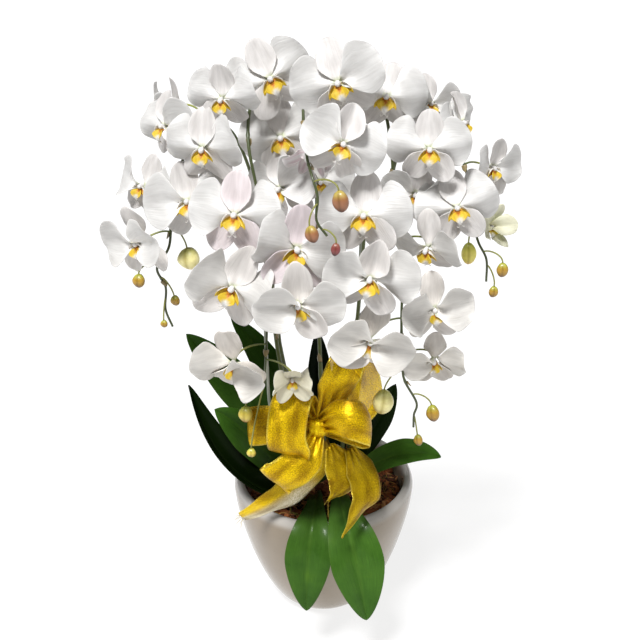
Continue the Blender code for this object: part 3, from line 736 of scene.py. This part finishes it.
def tepal(build, part, side, breadth, lean, look, rng):
    """One petal or sepal of a unit-wide flower, from its centre outwards."""
    turn, length, width, lift, broad = part
    tint, under, veined = look
    spread = PETAL_SPREAD if broad else SEPAL_SPREAD
    turn = math.radians(side * turn + rng.uniform(-TURN_SPREAD, TURN_SPREAD))
    if broad:
        length = length * rng.uniform(0.97, 1.03)
        width = width * breadth * rng.uniform(0.96, 1.06)
    else:
        width = width * breadth
    lean = math.radians(lean + rng.uniform(*spread))
    x, y = disc_grid(PETAL_GRID if broad else SEPAL_GRID)
    reach = (y + 1) / 2
    radius = np.sqrt(x * x + y * y)
    angle = np.arctan2(y, x)
    root, gain, grown = PETAL_CLAW if broad else SEPAL_CLAW
    claw = root + gain * smoothstep(reach, 0.0, grown)
    fuller = PETAL_UPPER_SIDE * -math.copysign(1.0, math.sin(turn)) * x if broad else 0
    across = x * width / 2 * claw * (1 + fuller)
    along = length * (0.03 + 0.97 * reach)

    # Its own fold along the middle, cup, curl of the tip and ruffled edge.
    ruffled = 1.0 if broad else 0.4
    fold = rng.choice([-1, 1]) * rng.uniform(0.08, 0.26) if broad else rng.uniform(-0.12, 0.16)
    cup = rng.uniform(-0.08, 0.08) * ruffled
    curl = rng.uniform(-0.16, 0.06)
    waves = rng.uniform(0.8, 1.7) * ruffled
    phases = rng.uniform(0, 2 * math.pi, 3)
    crease = np.sqrt(x * x + 0.004) - 0.063
    height = fold * crease * (1.15 - 0.7 * reach) + cup * x * x * (0.4 + reach) + curl * reach**2.2
    for (depth, power, count), phase in zip(RUFFLES, phases):
        height += depth * waves * radius**power * np.sin(count * angle + phase)
    height = height + lift * np.minimum(1, 4 * reach)

    away = np.array([math.sin(turn), math.cos(turn), 0.0])
    aside = np.array([math.cos(turn), -math.sin(turn), 0.0])
    ahead = np.array([0, 0, 1.0])
    mid = along[..., None] * (away * math.cos(lean) + ahead * math.sin(lean)) + across[..., None] * aside
    mid = mid + height[..., None] * (ahead * math.cos(lean) - away * math.sin(lean))
    thick = TEPAL_THICK * (0.35 + 0.65 * (1 - radius**6) + 0.5 * (1 - reach) ** 3)

    # Painted highlight round the throat and at the edge, where light shines through; greenish at the root.
    painted_highlight = 1 + 0.30 * np.exp(-(((reach - 0.16) / 0.2) ** 2)) + 0.12 * smoothstep(radius, 0.8, 1.0)
    base = mix(ROOT_GREEN, np.minimum(tint * painted_highlight[..., None], PALEST), smoothstep(reach, 0.02, 0.12))
    if veined:
        veins = 0.45 * np.cos(4.5 * math.pi * x) ** 4 * (1 - smoothstep(reach, 0.75, 1.0))
        base = mix(base, VEIN_PINK, veins)
    outer = base if under is None else mix(under, base, 0.25)
    colours = np.vstack([face[:, ::-1].reshape(-1, 3) for face in (base, outer)])
    grain = grain_at(reach, x * (0.4 + 0.6 * reach), rng.uniform(0, 50))
    build.add(*shell(mid[:, ::-1], thick[:, ::-1]), colours, both(grain[:, ::-1]))


def lip_lobe(build, seed):
    """The lip's arrow-shaped middle lobe, which hangs forward and down."""
    x, y = disc_grid(13)
    reach = (y + 1) / 2
    steps = 40
    line = smooth_path(LIP_LINE, steps + 1)
    at = np.clip(reach * steps, 0, steps - 0.001)
    k = at.astype(int)
    centre = line[k] * (1 - (at - k))[..., None] + line[k + 1] * (at - k)[..., None]
    face = np.cross([1.0, 0, 0], directions(line)[np.round(at).astype(int)])
    half = np.interp(reach, *zip(*LIP_HALF_WIDTHS))
    droop = 0.035 * x * x * np.sin(math.pi * reach)
    mid = centre + (x * half)[..., None] * np.array([1.0, 0, 0]) - droop[..., None] * face
    tint = mix(THROAT, YELLOW, smoothstep(reach + 0.35 * np.abs(x), 0.34, 0.52))
    tint = mix(tint, LIP_WHITE, smoothstep(reach - 0.22 * np.abs(x), 0.46, 0.62))
    build.add_shell(mid, 0.010, tint, grain_at(reach, x, seed))


def lip_ear(build, side, seed):
    """One of the lip's two upright side lobes: a curved flap between an inner and an outer edge."""
    share = np.linspace(0, 1, 9)
    weights = np.stack([(1 - share) ** 2, 2 * share * (1 - share), share**2], 1)
    first, last = [weights @ (np.array(edge) * (side, 1, 1)) for edge in EAR_EDGES][::side]
    mid = first[:, None] * (1 - share)[None, :, None] + last[:, None] * share[None, :, None]
    dome = np.sin(math.pi * share)[None, :] * np.sin(math.pi * (0.15 + 0.7 * share))[:, None]
    mid = mid + dome[..., None] * np.array((side * 0.012, 0.0, -0.026))
    t, s = sheet_grid(share, share)
    out = s if side > 0 else 1 - s
    tint = mix(THROAT, YELLOW, smoothstep(out, 0.05, 0.35))
    tint = mix(tint, LIP_WHITE, smoothstep(0.9 * out - t, 0.15, 0.45))
    build.add_shell(mid, 0.008, tint, grain_at(s, t, seed + side))


def lip(build, rng):
    """The lip of a unit-wide flower: a middle lobe with two tendrils, two ears and a callus between them."""
    seed = rng.uniform(0, 50)
    lip_lobe(build, seed)
    for side in (1, -1):
        lip_ear(build, side, seed)
        tendril = bezier(np.array(TENDRIL) * (side, 1, 1), np.linspace(0, 1, 9))
        build.add_tube(LIP_WHITE, tendril, np.linspace(0.007, 0.0025, 9), 6)
    build.add_tube(mix(THROAT, YELLOW, 0.25), CALLUS, CALLUS_RADII, 8)


def column(build):
    """The short white column above the lip, with its blunt cap."""
    path = smooth_path(COLUMN_LINE, 14)
    radii = 0.024 + 0.010 * smoothstep(np.linspace(0, 1, 14), 0.2, 0.8)
    radii[-3:] = 0.032, 0.024, 0.009
    build.add_tube(COLUMN_WHITE, path, radii, 12)


def make_flowers(material):
    for number, (name, (place, yaw, pitch, roll, width, form)) in enumerate(FLOWERS.items()):
        rng = np.random.default_rng(FLOWER_SEED + number)
        petal_lean, sepal_lean, breadth = FORMS[form]
        if name == YOUNG:
            breadth = YOUNG_BREADTH
        # Low flowers get a warm, slightly darker painted shade.
        low_shade = mix(LOW_PAINTED_SHADE, (1, 1, 1), smoothstep(place[2], *PAINTED_SHADE_HEIGHTS))
        tint = np.array(TINTS.get(name, WHITE)) * low_shade
        blush = tint * BLUSHES.get(name, BLUSH)
        under, veined = OUTSIDES.get(name), name == VEINED
        build = Build()
        for part, side in ((DORSAL_SEPAL, 1), (SIDE_SEPAL, 1), (SIDE_SEPAL, -1)):
            tepal(build, part, side, breadth, sepal_lean, (blush, under, veined), rng)
        for side in (1, -1):
            tepal(build, PETAL, side, breadth, petal_lean, (tint, under, veined), rng)
        lip(build, rng)
        column(build)
        matrix = flower_matrix(place, yaw, pitch, roll) @ Matrix.Scale(width * MM, 4)
        build.make(name.replace("flower", "bloom"), material, name, matrix)


# -------- stems and buds


def flower_back(place, yaw, pitch, roll, width):
    """The point behind the flower that its stalk reaches, and the way that the flower looks."""
    matrix = flower_matrix(place, yaw, pitch, roll)
    out = np.array(matrix.to_3x3() @ Vector((0, 0, 1)))
    return np.array(matrix.translation) - out * STALK_SET_BACK * width * MM, out


def stalk(stem, end, leaving, reach, count):
    """A stalk from the nearest part of the stem to `end`, arriving along `leaving`."""
    behind = end - leaving * STALK_BEHIND * MM
    first = int(len(stem) * 0.2)
    k = first + int(np.argmin(np.linalg.norm(stem[first:] - behind, axis=1)))
    start = stem[min(k, len(stem) - 2)]
    bend = min(np.linalg.norm(end - start) * reach, STALK_BEHIND * MM)
    controls = (start, start + (end - start) * 0.25 + np.array([0, 0, 0.006]), end - leaving * bend, end)
    return bezier(controls, np.linspace(0, 1, count))


def bud(build, centre, way, length, width, kind):
    """A closed bud: three sepals' ridges with seams between them, blunt at its stalk, drawn to a point."""
    rings, sides = 15, 18
    share = np.linspace(0, 1, rings)
    radii = np.sin(math.pi * np.clip(0.05 + 0.95 * share, 0, 1)) ** 0.62 * width / 2
    radii[0], radii[-1] = width * 0.08, width * 0.03
    bend = unit(np.cross(way, [0.3, 0.8, 0.2])) * (np.sin(math.pi * share) * width * 0.05)[:, None]
    path = centre + way * (share - 0.5)[:, None] * length + bend
    low, middle, high = BUDS[kind]
    along = np.repeat(share, sides)
    turn = np.tile(np.arange(sides) / sides, rings)
    # Painted shade darkens the grooves between the sepals' ridges.
    groove_shade = np.clip(-np.cos(2 * math.pi * 3 * turn), 0, 1) ** 4
    colour = mix(mix(low, middle, smoothstep(along, 0.0, 0.4)), high, smoothstep(along, 0.6, 0.98))
    build.add_tube(mix(colour, colour * GROOVE_PAINTED_SHADE, groove_shade * 0.8), path, radii, sides, 3, 0.10)


def bract(build, place, way, out, length):
    """The small pointed scale that wraps the stem at a joint."""
    side = unit(np.cross(way, out))
    out = unit(np.cross(side, way))
    t = np.linspace(0, 1, 7)
    s = np.linspace(-1, 1, 7)
    spread = (1 - t**1.6)[:, None] * s[None, :] * 1.25
    radius = (0.0026 + 0.0012 * t)[:, None, None]
    mid = place + way * (t * length)[:, None, None]
    mid = mid + radius * (np.cos(spread)[..., None] * out + np.sin(spread)[..., None] * side)
    build.add(*shell(mid, 0.0005), BRACT_BROWN, 0)


def main_stem(build, controls, number):
    """A spike's main stem with its swollen joints and their bracts; gives the points along it."""
    stem = smooth_path(np.array(controls) * MM, 14 * len(controls))
    run = run_along(stem)
    share = np.interp(run, [0, run[-1]], [0, 1])
    radii = np.interp(run, [0, run[-1]], [STEM_R_LOW, STEM_R_TIP]) * MM
    joints = np.arange(JOINT_FIRST, run[-1] - 0.02, JOINT_STEP)
    for joint in joints:
        radii = radii * (1 + JOINT_SWELL * np.exp(-(((run - joint) / JOINT_LENGTH) ** 2)))
    dark = smoothstep(np.repeat(share, STEM_SIDES), 0.3, 0.8) * 0.7
    build.add_tube(mix(STEM_GREEN, STEM_DARK, dark), stem, radii, STEM_SIDES)
    ways = directions(stem)
    for i, joint in enumerate(joints):
        k = int(np.searchsorted(run, joint))
        out = np.array([math.cos(2.4 * i + number), math.sin(2.4 * i + number), 0.15])
        bract(build, stem[k], ways[k], out, LOW_BRACT if run[k] < LOW_BRACTS_END else HIGH_BRACT)
    return stem


def make_spikes(material):
    for number, (spike, (controls, buds)) in enumerate(SPIKES.items()):
        rng = np.random.default_rng(SPIKE_SEED + number)
        build = Build()
        stem = main_stem(build, controls, number)
        for place, yaw, pitch, roll, width, _ in SPRAYS[spike]:
            end, out = flower_back(place, yaw, pitch, roll, width)
            share = np.linspace(0, 1, 18)
            radii = (PEDICEL_R * 0.85 + 0.8 * smoothstep(share, 0.62, 1.0)) * MM
            paler = smoothstep(np.repeat(share, PEDICEL_SIDES), 0.1, 1.0)
            colour = mix(STEM_GREEN * 1.3, STALK_PALE * 1.6, paler)
            build.add_tube(colour, stalk(stem, end, out, 0.5, 18), radii, PEDICEL_SIDES, 3, 0.05)
        for place, length, width, kind in buds:
            centre = np.array(place) * MM
            hang = unit(np.array([rng.uniform(-0.25, 0.25), rng.uniform(-0.2, 0.1), -1.0]))
            root = centre - hang * length * MM * 0.47
            path = stalk(stem, root, hang, 0.4, 14)
            build.add_tube(STALK_PALE, path, np.full(14, PEDICEL_R * MM * 0.7), PEDICEL_SIDES)
            bud(build, centre, hang, length * MM, width * MM, kind)
        build.make(f"stems_{spike}", material, f"spike_{spike}")


# -------- leaves


def leaf_width(t, habit):
    """Share of the greatest width at a share of the length: narrow root, oval end."""
    root, widest, rise = habit
    end = np.maximum(0, (t - widest) / (1 - widest))
    widening = np.sin(math.pi / 2 * np.minimum(1, t / widest)) ** rise
    return (root + (1 - root) * widening) * (1 - end**1.5) ** 0.7


def leaf_surface(controls, width, fold, look, habit, t, s, rng):
    """Middle surface of a leaf: a valley along its midrib, bulging halves and a gently waved edge."""
    path = bezier(np.array(controls) * MM, t)
    along = directions(path)
    side = unit(np.cross(along, np.array(look)))
    face = np.cross(side, along)
    half = np.maximum(leaf_width(t, habit) * width * MM / 2, 0.0008)
    fold = math.radians(fold)
    valley = np.sqrt(s**2 + MIDRIB_ROUND**2) - MIDRIB_ROUND
    bulge = LEAF_BULGE * np.sin(math.pi * np.abs(s))
    phase = rng.uniform(0, 6, 2)
    wave = 0.035 * np.sin(7 * t + phase[0])[:, None] * s[None, :] ** 2
    wave = wave + 0.02 * np.sin(13 * t + phase[1])[:, None] * s[None, :] ** 3
    lift = (math.sin(fold) * valley + bulge)[None, :] + wave
    mid = path[:, None] + (half[:, None] * s[None, :] * math.cos(fold))[..., None] * side[:, None]
    return mid + (half[:, None] * lift)[..., None] * face[:, None]


def make_leaves(glossy, shaded_copy):
    rows, cols = 44, 21
    t = np.sin(np.linspace(0, 1, rows) * math.pi / 2) * 0.999
    s = np.sin(np.linspace(-1, 1, cols) * math.pi / 2)
    thick = LEAF_THICK * MM * np.tile(0.35 + 0.65 * (1 - np.abs(s) ** 3), (rows, 1))
    grid_t, grid_s = sheet_grid(t, s)
    # A paler midrib with a painted highlight along it, fading towards the tip.
    rib_pale_and_highlight = np.exp(-((grid_s / 0.06) ** 2)) * (1 - 0.6 * grid_t)
    edge = smoothstep(np.abs(grid_s), 0.93, 1.0)
    upper = mix(LEAF_ROOT, LEAF_TIP, smoothstep(grid_t, 0.1, 0.9))
    upper = mix(mix(upper, RIB_PALE_AND_HIGHLIGHT, 0.5 * rib_pale_and_highlight), LEAF_EDGE, 0.4 * edge)[:, ::-1].reshape(-1, 3)
    lower = upper * 0.6 + np.array(LEAF_UNDER)
    for number, (name, (controls, width, fold, look, shade)) in enumerate(LEAVES.items()):
        rng = np.random.default_rng(LEAF_SEED + number)
        front = name.startswith("front")
        mid = leaf_surface(controls, width, fold, look, ARCHED if front else UPRIGHT, t, s, rng)
        grain = grain_at(grid_t * 3, grid_s, number * 7.0)[:, ::-1]
        build = Build()
        # The shade multiplies the leaf's colours: its own tone together with painted light and shade.
        build.add(*shell(mid[:, ::-1], thick), np.vstack([upper, lower]) * shade, both(grain))
        # The front leaves take the glossy leaf material, the others a shaded copy whose lower gloss stands in
        # for the shade they lie in.
        build.make(f"foliage_{name}", glossy if front else shaded_copy, f"leaf_{name}")


# -------- pot, bark, stakes


def make_pot(material):
    profile = np.array(POT_PROFILE, float) * MM
    outside = smooth_path(np.column_stack([profile, np.zeros(len(profile))]), 5 * len(profile))[:, :2]
    outside[:, 1] = np.maximum(outside[:, 1], 0)
    rings = np.vstack([outside, np.array(POT_BOTTOM) * MM])
    turn = 2 * math.pi * np.arange(POT_SEGMENTS) / POT_SEGMENTS
    radius, height = rings[:, None, 0], rings[:, None, 1]
    points = np.stack([radius * np.cos(turn), radius * np.sin(turn), height * np.ones(POT_SEGMENTS)], -1)
    build = Build()
    # The rim turns to a painted highlight above the wall's glaze.
    tint = mix(GLAZE_WALL, RIM_PAINTED_HIGHLIGHT, smoothstep(points[..., 2].ravel(), *RIM_HIGHLIGHT_HEIGHTS))
    build.add(points, ring_faces(len(rings), POT_SEGMENTS), tint, 0)
    build.make("glazed_pot", material, "pot")


def chip_shape(rng, size):
    """A rough flat splinter of bark: a box with blunt corners, pulled about by noise."""
    line = (-1, -0.55, 0.55, 1)
    outside = [(i, j, k) for i, j, k in np.ndindex(4, 4, 3) if k != 1 or i in (0, 3) or j in (0, 3)]
    index = np.zeros((4, 4, 3), int)
    index[tuple(np.transpose(outside))] = range(len(outside))
    shape = np.array([(line[i], line[j], k - 1) for i, j, k in outside], float)
    corner = np.abs(shape).min(1) > 0.9
    shape = shape * np.where(corner, 0.8, 1.0)[:, None]
    shape = shape + rng.normal(0, 0.13, shape.shape)
    walls = index[:, :, 0], index[:, :, 2].T, index[:, 0].T, index[:, 3], index[0], index[3].T
    return shape * size / 2, [face for wall in walls for face in grid_faces(wall)]


def medium_height(radius):
    share = radius / (MEDIUM_RADIUS * MM)
    return (MEDIUM_EDGE_Z + MEDIUM_CROWN * (1 - share**2)) * MM


def on_medium(radius, turn, above):
    return np.array([radius * math.cos(turn), radius * math.sin(turn), medium_height(radius) + above])


def medium_bed(build, rng):
    """The dark surface under the chips."""
    rings, spokes = 26, 64
    turn = 2 * math.pi * np.arange(spokes + 1) / spokes
    radius = np.linspace(0.001, 1, rings)[:, None] * (MEDIUM_RADIUS * MM) * np.ones(spokes + 1)
    top = np.stack([radius * np.cos(turn), radius * np.sin(turn), medium_height(radius) - 0.003], -1)
    bumps = rng.normal(0, 0.0008, (rings, spokes))
    top[..., 2] += np.column_stack([bumps, bumps[:, 0]])
    points, faces = shell(top[:, ::-1], 0.004)
    build.add(points, faces, BED_BROWN, points)


def bark_chip(build, rng):
    radius = MEDIUM_RADIUS * MM * math.sqrt(rng.uniform(0, 1)) * 0.955
    turn = rng.uniform(0, 2 * math.pi)
    size = rng.uniform(*CHIP_SIZES) * MM
    shape, faces = chip_shape(rng, size)
    spin = Matrix.Rotation(rng.uniform(0, 6.3), 3, "Z") @ Matrix.Rotation(rng.normal(0, 0.35), 3, "X")
    spin = spin @ Matrix.Rotation(rng.normal(0, 0.25), 3, "Y")
    radius = min(radius, MEDIUM_RADIUS * MM - size[0] * 0.62)
    centre = on_medium(radius, turn, rng.uniform(-2.5, 2.2) * MM)
    brown = np.array(BROWNS[rng.choice(len(BROWNS), p=BROWN_SHARES)]) * rng.uniform(0.75, 1.25)
    build.add(shape @ np.array(spin).T + centre, faces, brown, shape + rng.uniform(0, 5, 3))


def moss_fibre(build, rng):
    """A short thread of moss, arched over the chips and kept inside the pot."""
    radius = MEDIUM_RADIUS * MM * rng.uniform(0.35, 0.93)
    start = on_medium(radius, rng.uniform(0, 2 * math.pi), 2.0 * MM)
    length = rng.uniform(5, 15) * MM
    heading = rng.uniform(0, 2 * math.pi)
    steps = np.linspace(0, 1, 7)[:, None]
    way = np.array([math.cos(heading), math.sin(heading), 0])
    curve = np.array([-math.sin(heading), math.cos(heading), 0]) * rng.uniform(-0.4, 0.4)
    path = start + length * ((steps - 0.5) * way + steps**2 * curve)
    path[:, 2] += (np.sin(np.linspace(0, math.pi, 7)) * 2.4 - 0.4) * MM
    over = np.linalg.norm(path[:, :2], axis=1).max() / (MEDIUM_RADIUS * MM - 0.001)
    path[:, :2] /= max(over, 1)
    points, faces, grain = tube(path, np.full(7, rng.uniform(0.25, 0.5) * MM), 5)
    colour = DRY_MOSS if rng.uniform() < 0.7 else GREEN_MOSS
    build.add(points, faces, np.array(colour) * rng.uniform(0.7, 1.4), grain)


def make_bark(material):
    rng = np.random.default_rng(BARK_SEED)
    build = Build()
    medium_bed(build, rng)
    for _ in range(CHIP_COUNT):
        bark_chip(build, rng)
    for _ in range(FIBRE_COUNT):
        moss_fibre(build, rng)
    build.make("bark_chips", material, "growing_medium")


def make_stakes(material):
    for side, (controls, colour) in STAKES.items():
        radii = np.full(50, STAKE_R * MM)
        radii[-2:] *= 0.85, 0.35
        build = Build()
        build.add_tube(colour, smooth_path(np.array(controls) * MM, 50), radii, 14)
        build.make(f"support_rod_{side}", material, f"stake_{side}")


# -------- ribbon


def band(controls, first, last, width, t, s, rng, waists, puff, cut):
    """Middle surface of a ribbon along a path. `waists` are its shares of the width at the start and end,
    `puff` how far its middle bulges in widths, `cut` where a slanted end starts, the side that its point is
    on and how much of the width it takes."""
    path = smooth_path(np.array(controls) * MM, len(t))
    along = directions(path)
    across = np.array(first) * (1 - t)[:, None] + np.array(last) * t[:, None]
    across = unit(across - along * (across * along).sum(1, keepdims=True))
    normal = np.cross(along, across)
    waist = np.minimum(1, np.minimum(waists[0] + 3.0 * t, waists[1] + 3.0 * (1 - t)))
    phase = rng.uniform(0, 6, 3)
    grid_t, grid_s = sheet_grid(t, s)
    gathers = 0.16 * (1 - waist)[:, None] * np.sin(3.4 * math.pi * grid_s + phase[0])
    bulge = puff * (1 - grid_s**2) * np.sin(math.pi * grid_t) ** 0.5
    slow = 0.020 * np.sin(9 * grid_t * len(t) / 60 + 2.2 * grid_s + phase[1])
    quick = 0.014 * np.sin(23 * grid_t - 3.1 * grid_s + phase[2]) * (0.4 + grid_s**2)
    lift = (gathers + bulge + slow + quick) * width * MM
    start, point, taken = cut
    shorten = np.clip((grid_t - start) / max(1 - start, 0.01), 0, 1) * taken
    half = (waist * width / 2)[:, None] * (grid_s * (1 - shorten) + point * shorten) * MM
    return path[:, None] + half[..., None] * across[:, None] + lift[..., None] * normal[:, None], path


def ribbon_gold(t, s):
    """Gold with paler selvedges."""
    grid_s = sheet_grid(t, s)[1]
    return mix(RIBBON_GOLD, SELVEDGE_GOLD, smoothstep(np.abs(grid_s), 0.91, 0.98))


def tail_gold(t, s, side):
    """Painted shade makes the tails darker than the loops; towards its end the left tail gets a painted
    highlight and then a painted paleness where light shows through the sheer cloth.
    """
    gold = ribbon_gold(t, s)
    if side != "left":
        return gold * TAIL_SHADE
    # Painted highlight on the left tail's end, then painted paleness where light shows through it.
    bright = mix(TAIL_SHADE, 1.15, smoothstep(t, 0.66, 0.9))[:, None]
    sheer = smoothstep(t, 0.35, 0.6)[:, None] * smoothstep(s, -0.2, 0.5)
    return mix(gold * bright, PAINTED_SHOW_THROUGH, 0.8 * sheer)


def fray(build, end, heading, lengths):
    """Loose threads from the cut end of a ribbon."""
    rng = np.random.default_rng(FRAY_SEED)
    steps = np.linspace(0, 1, 6)[:, None]
    for length in lengths:
        start = end[int(rng.integers(0, len(end)))]
        way = unit(unit(heading) + rng.normal(0, 0.3, 3))
        path = start + (steps * way + steps**2 * np.array([0, 0, -0.25])) * length * MM
        build.add_tube(THREAD_GOLD, path, np.full(6, THREAD_R * MM), 5)


def ribbon_piece(name, node, material, surface, width, s, gold, seed, threads=()):
    """A loop or tail made from its middle surface, and the length of its centre line."""
    mid, path = surface
    mid = mid + np.array(KNOT) * MM
    run = run_along(path)
    grain = grain_at(*sheet_grid(run / MM, s * width / 2), seed * 3.0)
    build = Build()
    build.add_shell(mid, RIBBON_THICK * MM, gold, grain)
    fray(build, mid[-1], path[-1] - path[-3], threads)
    return build.make(name, material, node), float(run[-1])


def make_ribbon(material):
    s = np.linspace(-1, 1, 19)
    t = np.linspace(0, 1, 60)
    for number, (name, (controls, first, last, puff)) in enumerate(LOOPS.items()):
        rng = np.random.default_rng(LOOP_SEED + number)
        surface = band(controls, first, last, RIBBON_WIDTH, t, s, rng, LOOP_WAISTS, puff, UNCUT)
        piece, length = ribbon_piece(f"bow_loop_{name}", "ribbon_bow", material, surface, RIBBON_WIDTH, s,
                                     ribbon_gold(t, s), number)
    t = np.linspace(0, 1, 56)
    for number, (name, (controls, first, last, cut, threads)) in enumerate(TAILS.items()):
        rng = np.random.default_rng(TAIL_SEED + number)
        surface = band(controls, first, last, TAIL_WIDTH, t, s, rng, TAIL_WAISTS, TAIL_PUFF, cut)
        piece, length = ribbon_piece(f"bow_tail_{name}", f"ribbon_tail_{name}", material, surface, TAIL_WIDTH,
                                     s, tail_gold(t, s, name), number + TAIL_GRAIN, threads)
        length *= 1 - 0.5 * (1 - cut[0])


def make_knot(material):
    """The short band drawn tight round the middle of the bow."""
    turn = np.linspace(0, 1, 49) * 2 * math.pi * 0.985
    s = np.linspace(-1, 1, 17)
    right = np.array([1.0, 0, 0])
    upright = unit(np.array(KNOT_TILT))
    front = np.cross(upright, right)
    swell = 1 + 0.10 * np.cos(math.pi * s) + 0.05 * np.sin(5 * math.pi * s + 1)
    ring = upright * np.cos(turn)[:, None] * KNOT_HEIGHT + front * np.sin(turn)[:, None] * KNOT_DEPTH
    mid = ring[:, None] * swell[:, None] + KNOT_REACH * s[:, None] * right + KNOT
    grain = grain_at(*sheet_grid(turn * 9, s * 19), 0.0)
    build = Build()
    # The knot's gold is painted brighter than the rest of the ribbon: a painted highlight.
    build.add(*shell(mid * MM, KNOT_THICK * MM), RIBBON_GOLD * 1.25, both(grain))
    knot = build.make("bow_knot", material, "ribbon_bow")


# -------- floor, light, camera


def place_in_scene(name, data):
    made = bpy.data.objects.new(name, data)
    bpy.context.scene.collection.objects.link(made)
    return made


def make_stage():
    """A light table: it glows evenly, so that shadows on it stay faint."""
    mesh = bpy.data.meshes.new("floor")
    e = FLOOR_HALF
    mesh.from_pydata([(-e, -e, 0), (e, -e, 0), (e, e, 0), (-e, e, 0)], [], [(0, 1, 2, 3)])
    floor = place_in_scene("floor", mesh)
    floor.location.z = -FLOOR_DROP
    paint = Paint("floor", Roughness=0.9, Specular_IOR_Level=0.0, Base_Color=FLOOR_WHITE,
                  Emission_Color=(1, 1, 1, 1), Emission_Strength=FLOOR_GLOW)
    mesh.materials.append(paint.material)


def soft_sun(name, towards, strength, spread):
    data = bpy.data.lights.new(name, "SUN")
    data.energy = strength
    data.angle = math.radians(spread)
    place_in_scene(name, data).rotation_euler = Vector(towards).to_track_quat("-Z", "Y").to_euler()


def make_light():
    world = bpy.data.worlds.new("studio")
    bpy.context.scene.world = world
    world.use_nodes = True
    back = world.node_tree.nodes["Background"]
    back.inputs["Color"].default_value = ROOM_COLOUR
    back.inputs["Strength"].default_value = ROOM_GLOW
    for name, sun in SUNS.items():
        soft_sun(name, *sun)


def make_camera():
    data = bpy.data.cameras.new("camera")
    data.lens = CAMERA_LENS
    data.sensor_width = SENSOR_WIDTH
    data.clip_end = CAMERA_SIGHT
    camera = place_in_scene("camera", data)
    camera.location = CAMERA_PLACE
    camera.rotation_euler = (math.radians(CAMERA_TILT), 0, 0)
    bpy.context.scene.camera = camera


make_camera()
make_stage()
make_light()
bpy.context.scene.view_settings.view_transform = "Standard"
make_pot(glaze_material())
make_bark(bark_material())
make_leaves(leaf_material("leaf", LEAF_GLOSS), leaf_material("shaded_leaf", SHADED_LEAF_GLOSS))
make_spikes(stem_material())
make_stakes(stake_material())
make_flowers(petal_material())
organza = ribbon_material()
make_knot(organza)
make_ribbon(organza)
